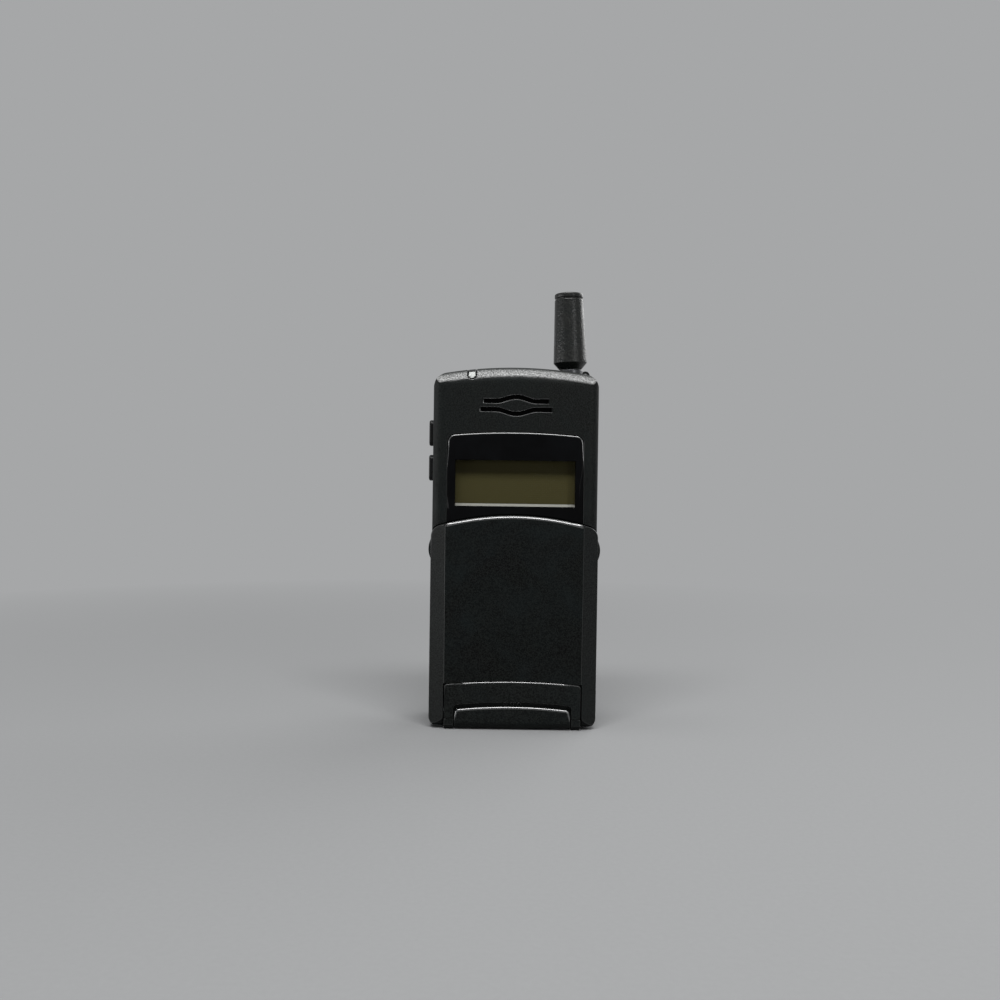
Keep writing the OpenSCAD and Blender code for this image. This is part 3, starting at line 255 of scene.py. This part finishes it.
def drawn_lines():
    """Fine lines along one direction, as left by drawing or brushing metal."""
    group, given, out = new_group("drawn lines", {"Lines": 3000, "Along X": 1.0, "Along Z": 1.0}, ["Line"])
    ends = put(group, "SeparateXYZ", {"Vector": surface_point(group)})
    stretched = put(group, "CombineXYZ", {
        "X": reckon(group, "MULTIPLY", ends.outputs["X"], given["Along X"]),
        "Y": ends.outputs["Y"],
        "Z": reckon(group, "MULTIPLY", ends.outputs["Z"], given["Along Z"])})
    streak = put(group, "TexNoise", {"Vector": stretched.outputs[0], "Scale": given["Lines"], "Detail": 3.0})
    feed(group, out["Line"], remap(group, streak.outputs[0], 0.3, 0.7))
    return group


GRAIN = moulded_grain()
HANDLING = handling_marks()
DUST = dust_specks()
CROWN = crown_polish_and_highlight()
DRAWN = drawn_lines()

# Finishes

DUST_GREY = tint(120, 122, 120)
SKIN_OIL = tint(33, 40, 41)
# Paler grey for the band where a moulding bends into its top: partly wear, partly a painted highlight.
WEAR_AND_HIGHLIGHT_GREY = tint(70, 72, 70)


def moulded_plastic(name, colour, roughness, grains=2900, depth=0.02 * MM, mottle=0.9, smear=0.25, patches=45,
                    dust=0.1, shine=0.18, crown=0.0):
    """Moulded plastic: grain in its tone and bump, handling in its gloss, a little dust."""
    material, tree, skin = new_finish(name)
    skin.inputs["Specular IOR Level"].default_value = shine
    skin.inputs["Coat Roughness"].default_value = 0.42
    skin.inputs["Coat IOR"].default_value = 2.9
    grain = use(tree, GRAIN, Grains=grains)
    marks = use(tree, HANDLING, Patches=patches)
    specks = use(tree, DUST, Amount=dust)
    tone = mix_colours(tree, grain["Tone"], shade(colour, 1 - mottle), shade(colour, 1 + mottle))
    oily = mix_colours(tree, reckon(tree, "MULTIPLY", marks["Smear"], smear), tone, SKIN_OIL)
    # With a crown, the band bending into the top gets a coat, and its colour is mixed paler: partly wear,
    # partly a painted highlight.
    if crown:
        rub_and_highlight = use(tree, CROWN, Grains=grains, Shine=crown)["Polish"]
        feed(tree, skin.inputs["Coat Weight"], rub_and_highlight)
        oily = mix_colours(tree, rub_and_highlight, oily, WEAR_AND_HIGHLIGHT_GREY)
    feed(tree, skin.inputs["Base Color"], mix_colours(tree, specks["Mask"], oily, DUST_GREY))
    polish = remap(tree, marks["Smear"], 0.0, 1.0, roughness + 0.05, roughness - 0.07)
    feed(tree, skin.inputs["Roughness"], reckon(tree, "MAXIMUM", polish, specks["Mask"]))
    bump = put(tree, "Bump", {"Height": grain["Height"], "Distance": depth, "Strength": 1.0})
    feed(tree, skin.inputs["Normal"], bump.outputs[0])
    return material


def rubbed_edge(name, colour, roughness, shine=0.5, coat=0.0, depth=0.003 * MM):
    """Edge of a moulding, smoother and paler in places from handling wear."""
    material, tree, skin = new_finish(name)
    skin.inputs["Specular IOR Level"].default_value = shine
    skin.inputs["Coat Weight"].default_value = coat
    skin.inputs["Coat Roughness"].default_value = 0.14
    skin.inputs["Coat IOR"].default_value = 1.8
    marks = use(tree, HANDLING, Patches=260, Spread=0.25)
    grain = use(tree, GRAIN, Grains=6000)
    # Patches of paler wear; for the crease finish, whose colour is pale, this is a painted highlight.
    edge_wear_and_highlight = mix_colours(tree, marks["Smear"], shade(colour, 0.9), shade(colour, 1.9))
    feed(tree, skin.inputs["Base Color"], edge_wear_and_highlight)
    feed(tree, skin.inputs["Roughness"],
         remap(tree, marks["Smear"], 0.0, 1.0, roughness + 0.1, roughness - 0.05))
    bump = put(tree, "Bump", {"Height": grain["Height"], "Distance": depth, "Strength": 1.0})
    feed(tree, skin.inputs["Normal"], bump.outputs[0])
    return material


def metal(name, colour, roughness, lines=3000, along_x=1.0, along_z=0.02):
    """Bare or plated metal with fine drawn lines."""
    material, tree, skin = new_finish(name)
    skin.inputs["Metallic"].default_value = 1.0
    drawn = use(tree, DRAWN, Lines=lines, Along_X=along_x, Along_Z=along_z)
    marks = use(tree, HANDLING, Patches=120)
    tone = mix_colours(tree, drawn["Line"], shade(colour, 0.82), shade(colour, 1.06))
    feed(tree, skin.inputs["Base Color"], mix_colours(tree, marks["Smear"], tone, shade(colour, 0.8)))
    feed(tree, skin.inputs["Roughness"],
         remap(tree, drawn["Line"], 0.0, 1.0, roughness + 0.08, roughness - 0.06))
    return material


def clear_pane(name, tone, gloss_roughness=0.03):
    """Clear plastic that lets light through and mirrors more of it at a slant."""
    material, tree, skin = new_finish(name)
    skin.inputs["Metallic"].default_value = 0.0
    marks = use(tree, HANDLING, Patches=70)
    smudged = mix_colours(tree, marks["Smear"], shade(tone, 0.02), shade(tone, 0.03))
    feed(tree, skin.inputs["Base Color"], smudged)
    feed(tree, skin.inputs["Roughness"],
         remap(tree, marks["Smear"], 0.0, 1.0, gloss_roughness, gloss_roughness + 0.08))
    through = put(tree, "BsdfTransparent", {"Color": tone})
    slant = put(tree, "LayerWeight", {"Blend": 0.5}).outputs["Facing"]
    mirrored = reckon(tree, "POWER", slant, 4.0)
    mix_shaders(tree, remap(tree, mirrored, 0.0, 1.0, 0.02, 0.7), through.outputs[0], skin.outputs[0],
                tree.nodes["Material Output"])
    return material


def window_border():
    """Glossy black border printed round the window, with smudges and dust."""
    material, tree, skin = new_finish("window border")
    skin.inputs["Specular IOR Level"].default_value = 0.07
    marks = use(tree, HANDLING, Patches=70)
    specks = use(tree, DUST, Amount=0.2, Specks=330)
    black = mix_colours(tree, marks["Smear"], tint(7, 7, 8), tint(13, 14, 16))
    feed(tree, skin.inputs["Base Color"], mix_colours(tree, specks["Mask"], black, DUST_GREY))
    feed(tree, skin.inputs["Roughness"], remap(tree, marks["Smear"], 0.0, 1.0, 0.06, 0.16))
    return material


def display_cell():
    """Unlit display: olive film with a faint grid of picture cells."""
    material, tree, skin = new_finish("display cell")
    skin.inputs["Specular IOR Level"].default_value = 0.04
    ends = put(tree, "SeparateXYZ", {"Vector": surface_point(tree)})
    flat = put(tree, "CombineXYZ", {"X": ends.outputs["X"], "Y": ends.outputs["Z"]})
    cells = put(tree, "TexBrick", {"Vector": flat.outputs[0], "Color1": tint(96, 91, 60),
                                   "Color2": tint(93, 88, 58), "Mortar": tint(84, 80, 52), "Scale": 900.0,
                                   "Mortar Size": 0.05, "Brick Width": 0.5, "Row Height": 0.55}, offset=0.0)
    marks = use(tree, HANDLING, Patches=90)
    feed(tree, skin.inputs["Base Color"],
         mix_colours(tree, marks["Smear"], cells.outputs["Color"], tint(91, 86, 57)))
    feed(tree, skin.inputs["Roughness"], remap(tree, marks["Smear"], 0.0, 1.0, 0.3, 0.36))
    return material


def woven_mesh():
    """Fine black cloth behind the earpiece slots."""
    material, tree, skin = new_finish("earpiece cloth")
    skin.inputs["Specular IOR Level"].default_value = 0.1
    place = surface_point(tree)
    threads = [put(tree, "TexWave", {"Vector": place, "Scale": 900.0}, bands_direction=axis)
               for axis in ("X", "Z")]
    crossing = reckon(tree, "MULTIPLY", threads[0].outputs[1], threads[1].outputs[1])
    feed(tree, skin.inputs["Base Color"], mix_colours(tree, crossing, tint(2, 2, 2), tint(12, 12, 12)))
    feed(tree, skin.inputs["Roughness"], remap(tree, crossing, 0.0, 1.0, 0.9, 0.6))
    bump = put(tree, "Bump", {"Height": crossing, "Distance": 0.05 * MM, "Strength": 1.0})
    feed(tree, skin.inputs["Normal"], bump.outputs[0])
    return material


def green_laminate():
    """Circuit board with darker solder mask over paler tracks."""
    material, tree, skin = new_finish("green laminate")
    tracks = put(tree, "TexVoronoi", {"Vector": surface_point(tree), "Scale": 420.0}, distance="CHEBYCHEV",
                 feature="F2")
    track = remap(tree, tracks.outputs["Distance"], 0.55, 0.6)
    grain = use(tree, GRAIN, Grains=3000)
    feed(tree, skin.inputs["Base Color"], mix_colours(tree, track, tint(16, 78, 42), tint(44, 118, 66)))
    feed(tree, skin.inputs["Roughness"], remap(tree, grain["Tone"], 0.0, 1.0, 0.35, 0.5))
    return material


def copper_winding():
    """Enamelled wire laid turn by turn."""
    material, tree, skin = new_finish("copper winding")
    skin.inputs["Metallic"].default_value = 1.0
    turns = put(tree, "TexWave", {"Vector": surface_point(tree), "Scale": 500.0}, bands_direction="Z")
    feed(tree, skin.inputs["Base Color"],
         mix_colours(tree, turns.outputs[1], tint(90, 44, 20), tint(196, 120, 70)))
    feed(tree, skin.inputs["Roughness"], remap(tree, turns.outputs[1], 0.0, 1.0, 0.5, 0.3))
    bump = put(tree, "Bump", {"Height": turns.outputs[1], "Distance": 0.1 * MM, "Strength": 1.0})
    feed(tree, skin.inputs["Normal"], bump.outputs[0])
    return material


CASE_BLACK = tint(23, 25, 24)
LID_BLACK = tint(18, 20, 19)
ANTENNA_BLACK = tint(24, 25, 23)

FINISHES = {
    "case_black": moulded_plastic("case black", CASE_BLACK, 0.48, shine=0.12, crown=1.0),
    "lid_black": moulded_plastic("lid black", LID_BLACK, 0.44, grains=2500, smear=0.42, patches=60, shine=0.1,
                                 crown=0.5),
    "antenna_black": moulded_plastic("antenna black", ANTENNA_BLACK, 0.28, grains=1700, depth=0.05 * MM,
                                     mottle=0.8, patches=160, shine=0.4, crown=0.5),
    "trim_black": moulded_plastic("trim black", tint(14, 14, 14), 0.3, grains=7000, depth=0.003 * MM),
    "key_grey": moulded_plastic("key grey", tint(44, 46, 47), 0.5, grains=5200, depth=0.006 * MM, mottle=0.25,
                                smear=0.15),
    "window_dark": window_border(),
    "display_olive": display_cell(),
    "lens_clear": clear_pane("lens clear", (0.5, 0.52, 0.52, 1.0)),
    "frame_white": moulded_plastic("frame white", tint(232, 232, 226), 0.45, mottle=0.04, smear=0.02,
                                   dust=0.0, shine=0.4),
    "mesh_black": woven_mesh(),
    "part_black": moulded_plastic("part black", tint(22, 22, 22), 0.5),
    "board_green": green_laminate(),
    "mat_grey": moulded_plastic("mat rubber", tint(66, 68, 70), 0.75, grains=2600, mottle=0.15, smear=0.05,
                                shine=0.2),
    "dome_film": moulded_plastic("dome film", tint(206, 196, 148), 0.3, grains=1500, mottle=0.05, smear=0.05,
                                 dust=0.0),
    "steel": metal("steel", tint(196, 197, 199), 0.24),
    "shield_tin": metal("shield tin", tint(200, 200, 204), 0.34, lines=1800, along_z=1.0, along_x=0.03),
    "bushing_metal": metal("bushing metal", tint(92, 93, 95), 0.32, lines=4000, along_x=0.05, along_z=1.0),
    "gold": metal("gold plate", tint(222, 184, 96), 0.22),
    "winding": copper_winding(),
    "cell_grey": metal("cell sleeve", tint(150, 154, 160), 0.45, lines=900),
    "switch_glass": clear_pane("switch glass", (0.6, 0.7, 0.65, 1.0)),
}
EDGES = {
    "case_black": rubbed_edge("case edge", CASE_BLACK, 0.34),
    "lid_black": rubbed_edge("lid edge", LID_BLACK, 0.34),
    "antenna_black": rubbed_edge("antenna edge", ANTENNA_BLACK, 0.3),
}
LID_SIDE = moulded_plastic("lid side", tint(23, 25, 24), 0.42, smear=0.2, shine=0.2)
POLISHED = rubbed_edge("polished edge", LID_BLACK, 0.2, shine=1.0, coat=1.0, depth=0.0008 * MM)
# Pale finish for the lid's left crease only: a painted highlight along the crease that faces the left lamp,
# with patches of wear.
CREASE_PAINTED_HIGHLIGHT = rubbed_edge("worn crease", tint(112, 115, 114), 0.4)
LENS_RIM = rubbed_edge("lens rim", tint(10, 11, 11), 0.3)
PANE_CLEAR = clear_pane("window clear", (0.94, 0.94, 0.93, 1.0))
LENS_FROSTED = moulded_plastic("lens frosted", tint(205, 208, 205), 0.4, mottle=0.03, smear=0.02, dust=0.0,
                               shine=0.5)
MARK_WHITE = moulded_plastic("mark white", tint(205, 207, 204), 0.5, mottle=0.05, smear=0.05, dust=0.0)

SLOT_OF = {row["node"]: row["material_slot"] for row in frame["record"]["subparts"]}

# Mouldings, as softened copies of the frame's solids

WELD = 0.004 * MM
FLAT = radians(0.6)
SHARP = radians(28)
EDGE = 0.12 * MM
STRAY = 0.04 * MM
TURNED_UP = 0.05
TUCK_SHARE = 0.45
EDGE_FINISH, POLISHED_FINISH, SIDE_FINISH, LEFT_CREASE_HIGHLIGHT_FINISH = 1, 2, 3, 4


def link(name, shape, *finishes):
    """Turn a bmesh into an object of the scene."""
    mesh = bpy.data.meshes.new(name)
    shape.to_mesh(mesh)
    shape.free()
    for finish in finishes:
        mesh.materials.append(finish)
    piece = bpy.data.objects.new(name, mesh)
    scene.collection.objects.link(piece)
    return piece


def clean_copy(node):
    """The solid's surface with its flat parts joined into whole faces."""
    shape = bmesh.new()
    shape.from_mesh(frame["nodes"][node].data)
    bmesh.ops.remove_doubles(shape, verts=shape.verts, dist=WELD)
    bmesh.ops.dissolve_degenerate(shape, edges=shape.edges, dist=WELD)
    bmesh.ops.dissolve_limit(shape, angle_limit=FLAT, verts=shape.verts, edges=shape.edges)
    for face in shape.faces:
        face.smooth = True
        face.material_index = 0
    return shape


def round_edges(shape, chosen, radius, segments, finish=EDGE_FINISH):
    """Round the sharp edges that a test picks by their middle point."""
    edges = [edge for edge in shape.edges
             if edge.is_manifold and edge.calc_face_angle(0.0) > SHARP
             and chosen((edge.verts[0].co + edge.verts[1].co) / 2)]
    bmesh.ops.bevel(shape, geom=edges, offset=radius, offset_type="OFFSET", segments=segments, profile=0.5,
                    affect="EDGES", clamp_overlap=False, loop_slide=False, material=finish)


def tuck_in(shape, node, reach):
    """Bring stray points of a rounding back to the solid's own surface."""
    solid = frame["nodes"][node].data
    skin = BVHTree.FromPolygons([vertex.co for vertex in solid.vertices],
                                [polygon.vertices for polygon in solid.polygons])
    low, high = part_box(node)
    for vertex in shape.verts:
        nearest, normal, _, distance = skin.find_nearest(vertex.co)
        outside = (vertex.co - nearest).dot(normal) > 0
        if distance > (STRAY if outside else reach):
            vertex.co = nearest
        vertex.co = [min(max(at, least), most) for at, least, most in zip(vertex.co, low, high)]


def anywhere(point):
    """Picks every edge."""
    return True


def stand_for(piece, node):
    """The piece takes a node's place and body, and the node is hidden."""
    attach(piece, frame["nodes"][node]["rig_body"])
    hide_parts(node)
    return piece


def moulding(node, *rounds, edge=EDGE, skin=None, rim=None, side=None):
    """A softened moulding in its slot's finish, with given edges rounded more."""
    slot = SLOT_OF[node]
    skin = skin or FINISHES[slot]
    shape = clean_copy(node)
    for rounding in rounds:
        round_edges(shape, *rounding)
    round_edges(shape, anywhere, edge, 2)
    tuck_in(shape, node, TUCK_SHARE * max([edge] + [rounding[1] for rounding in rounds]))
    for face in shape.faces:
        face.smooth = True
        if face.material_index == POLISHED_FINISH and face.normal.z < TURNED_UP:
            face.material_index = 0
    piece = link(node + "_moulding", shape, skin, rim or EDGES.get(slot, skin), POLISHED, side or skin)
    weighted = piece.modifiers.new("shading", "WEIGHTED_NORMAL")
    weighted.keep_sharp = True
    weighted.weight = 80
    return stand_for(piece, node)


NEAR = 0.05 * MM


def on_front(node):
    """Picks edges that lie in a piece's front plane."""
    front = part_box(node)[0].y + NEAR
    return lambda point: point.y < front


def near_top(node, depth):
    """Picks edges within a depth of a piece's top."""
    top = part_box(node)[1].z - depth
    return lambda point: point.z > top


LID_LOW, LID_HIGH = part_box("flip_lid")
COVER_LOW, COVER_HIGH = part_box("hinge_cover")
MESH_LOW, MESH_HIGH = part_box("earpiece_mesh")
LENS_LOW, LENS_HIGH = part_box("status_lens")
FACE_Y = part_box("front_cover")[0].y
CROWN_DEPTH = 4 * MM
SHOULDER_DEPTH = 7 * MM
STRIP_FALL = 2.6 * MM
SLOT_DEPTH = 1.4 * MM
LIP_MARGIN = 0.3 * MM


def lid_crown(point):
    """The lid's arched top edge between its creases."""
    return (point.z > LID_HIGH.z - CROWN_DEPTH and point.y < LID_LOW.y + NEAR
            and abs(point.x) < COVER_HIGH.x)


def lid_shoulders(point):
    """The rest of the lid's top edge, along its sloped strips."""
    return point.z > LID_HIGH.z - SHOULDER_DEPTH and point.y < LID_LOW.y + STRIP_FALL


def lens_lip(point):
    """The front cover's edge all round the status lens."""
    return (LENS_LOW.x - LIP_MARGIN < point.x < LENS_HIGH.x + LIP_MARGIN and point.y < LENS_HIGH.y
            and point.z > LENS_LOW.z - LIP_MARGIN)


def earpiece_slots(point):
    """The rims of the two slots in front of the earpiece."""
    return (point.y < FACE_Y + SLOT_DEPTH and MESH_LOW.z < point.z < MESH_HIGH.z
            and abs(point.x) < MESH_HIGH.x)


def cover_corners(point):
    """The two ends of the hinge cover's arched top."""
    return abs(point.x) > COVER_HIGH.x - NEAR and point.y > COVER_LOW.y + NEAR


FRONTWARD = -0.6
STRIP_TURN, CREASE_TURN = 0.3, 0.6
LENS_TOP_TURN = 0.8

moulding("front_cover", (earpiece_slots, 0.25 * MM, 3, POLISHED_FINISH),
         (lens_lip, 0.3 * MM, 3, POLISHED_FINISH))
moulding("rear_cover")
lid = moulding("flip_lid", (lid_crown, 1.0 * MM, 6, POLISHED_FINISH), (lid_shoulders, 0.3 * MM, 3),
               side=LID_SIDE)
lid.data.materials.append(CREASE_PAINTED_HIGHLIGHT)
# Sloped strips take the side finish; the left crease facets are painted pale as a highlight, the right ones
# take the polished finish.
for facet in lid.data.polygons:
    turn = abs(facet.normal.x)
    if facet.material_index == 0 and facet.normal.y < FRONTWARD and turn > STRIP_TURN:
        edge_wear_and_highlight = LEFT_CREASE_HIGHLIGHT_FINISH if facet.center.x < 0 else POLISHED_FINISH
        facet.material_index = edge_wear_and_highlight if turn > CREASE_TURN else SIDE_FINISH
        facet.use_smooth = turn < CREASE_TURN
moulding("hinge_cover", (cover_corners, 0.8 * MM, 4),
         (near_top("hinge_cover", 1.5 * MM), 0.25 * MM, 3, POLISHED_FINISH),
         (on_front("hinge_cover"), 0.2 * MM, 3))
moulding("mouthpiece_bar", (near_top("mouthpiece_bar", 2.5 * MM), 0.8 * MM, 5, POLISHED_FINISH))
moulding("battery_case", edge=0.15 * MM)
moulding("battery_lid")
moulding("battery_catch", edge=0.15 * MM)
moulding("strap_lug", edge=0.2 * MM)
moulding("dock_connector")
moulding("case_screws", edge=0.08 * MM)
moulding("antenna_bushing", edge=0.15 * MM)
moulding("antenna_stub", (near_top("antenna_stub", 0.5 * MM), 0.35 * MM, 4), edge=0.15 * MM)
moulding("antenna_cap", (near_top("antenna_cap", 0.5 * MM), 0.4 * MM, 4), edge=0.15 * MM)
lens = moulding("status_lens", edge=0.3 * MM, skin=LENS_FROSTED, rim=LENS_RIM)
for facet in lens.data.polygons:
    if facet.normal.z > LENS_TOP_TURN:
        facet.material_index = EDGE_FINISH

# Keys, with soft rims

KEYS = [node for node in frame["nodes"] if node.startswith("key_")]
for node in KEYS:
    moulding(node, (on_front(node), 0.6 * MM, 4), edge=0.06 * MM)
for node in ("volume_key_up", "volume_key_down"):
    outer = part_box(node)[0].x + NEAR
    moulding(node, (lambda point, side=outer: point.x < side, 0.5 * MM, 4), edge=0.06 * MM)

# Marks printed on the keys

MARK_H = 2.9 * MM
MARK_T = 0.012 * MM
TYPE_SIZE = 1.35 * MARK_H
MARK_WORDS = {"star": "*", "hash": "#", "clear": "C"}
ARROW = [(-0.55, 0.0), (0.45, 0.62), (0.45, -0.62)]
HANDSET = [(-1.3, -0.5), (-1.3, 0.1), (-0.9, 0.45), (0.9, 0.45), (1.3, 0.1), (1.3, -0.5),
           (0.75, -0.5), (0.6, -0.05), (-0.6, -0.05), (-0.75, -0.5)]
MARK_SHAPES = {
    "left": ARROW,
    "right": [(-x, z) for x, z in reversed(ARROW)],
    "call": HANDSET,
    "end": [(x, -z) for x, z in reversed(HANDSET)],
}


def lettered(text):
    """A plain sign as a thin flat mesh in the XY plane."""
    curve = bpy.data.curves.new("sign", "FONT")
    curve.body = text
    curve.size = TYPE_SIZE
    curve.align_x = "CENTER"
    curve.align_y = "CENTER"
    curve.extrude = MARK_T
    curve.resolution_u = 6
    holder = bpy.data.objects.new("sign", curve)
    scene.collection.objects.link(holder)
    bpy.context.view_layer.update()
    ready = holder.evaluated_get(bpy.context.evaluated_depsgraph_get())
    shape = bmesh.new()
    shape.from_mesh(ready.to_mesh())
    ready.to_mesh_clear()
    bpy.data.objects.remove(holder)
    bpy.data.curves.remove(curve)
    return shape


def cut_out(outline):
    """A flat outline, in millimetres, as a thin mesh in the XY plane."""
    shape = bmesh.new()
    ring = [shape.verts.new((x * MM, y * MM, 0)) for x, y in reversed(outline)]
    face = shape.faces.new(ring)
    raised = bmesh.ops.extrude_face_region(shape, geom=[face])["geom"]
    top = [part for part in raised if isinstance(part, bmesh.types.BMVert)]
    bmesh.ops.translate(shape, vec=(0, 0, MARK_T), verts=top)
    bmesh.ops.recalc_face_normals(shape, faces=shape.faces)
    return shape


FACING_FRONT = Matrix.Rotation(radians(90), 4, "X")
for node in KEYS:
    sign = node.removeprefix("key_")
    shape = cut_out(MARK_SHAPES[sign]) if sign in MARK_SHAPES else lettered(MARK_WORDS.get(sign, sign))
    low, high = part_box(node)
    middle = (low + high) / 2
    shape.transform(Matrix.Translation((middle.x, low.y, middle.z)) @ FACING_FRONT)
    spread = [sum((max(v.co[axis] for v in shape.verts), min(v.co[axis] for v in shape.verts))) / 2
              for axis in (0, 2)]
    bmesh.ops.translate(shape, vec=(middle.x - spread[0], 0, middle.z - spread[1]), verts=shape.verts)
    mark = link("mark_" + sign, shape, MARK_WHITE)
    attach(mark, node)

# Window: black print all round, clear in front of the display

DISPLAY_LAP = 0.9 * MM
PALE_RIM = 0.75 * MM
CLEAR_FINISH = 3
glass_low, glass_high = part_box("lcd_glass")
clear_low = Vector((glass_low.x + DISPLAY_LAP, 0, glass_low.z - PALE_RIM))
clear_high = Vector((glass_high.x - DISPLAY_LAP, 0, glass_high.z - DISPLAY_LAP))
window_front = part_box("display_window")[0].y


def window_top(point):
    """The window's front edge above the display."""
    return point.y < window_front + NEAR and point.z > glass_high.z


pane = clean_copy("display_window")
round_edges(pane, window_top, 0.5 * MM, 5, POLISHED_FINISH)
for corner in (clear_low, clear_high):
    for normal in ((1, 0, 0), (0, 0, 1)):
        bmesh.ops.bisect_plane(pane, geom=pane.verts[:] + pane.edges[:] + pane.faces[:],
                               plane_co=corner, plane_no=normal)
for face in pane.faces:
    middle = face.calc_center_median()
    inside = clear_low.x < middle.x < clear_high.x and clear_low.z < middle.z < clear_high.z
    if inside:
        face.material_index = CLEAR_FINISH
    face.smooth = True
window = link("window_pane", pane, FINISHES["window_dark"], FINISHES["window_dark"], POLISHED, PANE_CLEAR)
window.modifiers.new("shading", "WEIGHTED_NORMAL").keep_sharp = True
stand_for(window, "display_window")

# Nodes that are shown as they are

for node, solid in frame["nodes"].items():
    if not solid.hide_render:
        solid.data.materials.clear()
        solid.data.materials.append(FINISHES[SLOT_OF[node]])

# Floor, surroundings and light

BACKDROP = tint(166, 167, 168)
ROOM_LIGHT = 0.04
THROWN_BACK = tint(60, 60, 60)
FLOOR_REACH = 8
FADE_FROM, FADE_TO = 0.06, 0.45


def seen_directly(tree):
    """1 for what the camera sees, straight, mirrored or through glass."""
    path = put(tree, "LightPath").outputs
    mirrored = reckon(tree, "MAXIMUM", path["Is Glossy Ray"], path["Is Transmission Ray"])
    return reckon(tree, "MAXIMUM", path["Is Camera Ray"], mirrored)


def pale_floor():
    """Pale floor that fades into the backdrop far from the phone."""
    material, tree, skin = new_finish("pale floor")
    place = surface_point(tree)
    grain = put(tree, "TexNoise", {"Vector": place, "Scale": 900.0, "Detail": 3.0})
    pale = mix_colours(tree, grain.outputs[0], tint(155, 156, 157), tint(161, 162, 163))
    feed(tree, skin.inputs["Base Color"], mix_colours(tree, seen_directly(tree), THROWN_BACK, pale))
    skin.inputs["Roughness"].default_value = 0.8
    skin.inputs["Specular IOR Level"].default_value = 0.2
    reach = put(tree, "VectorMath", {"Vector": place}, operation="LENGTH").outputs["Value"]
    far = remap(tree, reach, FADE_FROM, FADE_TO)
    glow = put(tree, "Emission", {"Color": BACKDROP, "Strength": 1.0})
    mix_shaders(tree, reckon(tree, "MULTIPLY", far, seen_directly(tree)), skin.outputs[0], glow.outputs[0],
                tree.nodes["Material Output"])
    return material


disc = bmesh.new()
bmesh.ops.create_circle(disc, cap_ends=True, radius=FLOOR_REACH, segments=96)
floor = link("floor", disc, pale_floor())

# The floor sinks with the lid's tip when the lid opens past level

tip = bpy.data.objects.new("lid_tip", None)
tip.location = (0, LID_LOW.y, LID_HIGH.z)
scene.collection.objects.link(tip)
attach(tip, frame["nodes"]["flip_lid"]["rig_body"])
follow = floor.constraints.new("COPY_LOCATION")
follow.target = tip
follow.use_x = False
follow.use_y = False
ground = floor.constraints.new("LIMIT_LOCATION")
ground.use_max_z = True
ground.max_z = 0

world = bpy.data.worlds.new("studio")
scene.world = world
world.use_nodes = True
sky = world.node_tree
backdrop = sky.nodes["Background"]
backdrop.inputs["Color"].default_value = BACKDROP
room = put(sky, "Background", {"Color": (1.0, 1.0, 1.0, 1.0), "Strength": ROOM_LIGHT})
mix_shaders(sky, seen_directly(sky), room.outputs[0], backdrop.outputs[0], sky.nodes["World Output"])


def soft_box(name, place, aim, size, power):
    """A large soft lamp that shines at a point."""
    lamp = bpy.data.lights.new(name, "AREA")
    lamp.shape = "RECTANGLE"
    lamp.size, lamp.size_y = size
    lamp.energy = power
    holder = bpy.data.objects.new(name, lamp)
    holder.location = place
    holder.visible_camera = False
    holder.rotation_euler = (Vector(aim) - Vector(place)).to_track_quat("-Z", "Y").to_euler()
    scene.collection.objects.link(holder)


MIDDLE = (0, 0, 60 * MM)
soft_box("front lamp", (0, -0.45, 0.76), MIDDLE, (0.8, 0.2), 6.5)
soft_box("ceiling lamp", (0, 0, 0.9), MIDDLE, (0.7, 0.15), 1.6)
soft_box("back lamp", (0.5, 0.48, 0.42), MIDDLE, (0.7, 0.4), 2.4)
soft_box("left lamp", (-0.7, -0.15, 0.08), MIDDLE, (0.8, 0.15), 1.2)
soft_box("right lamp", (0.46, -0.66, 0.2), MIDDLE, (0.14, 0.25), 0.5)
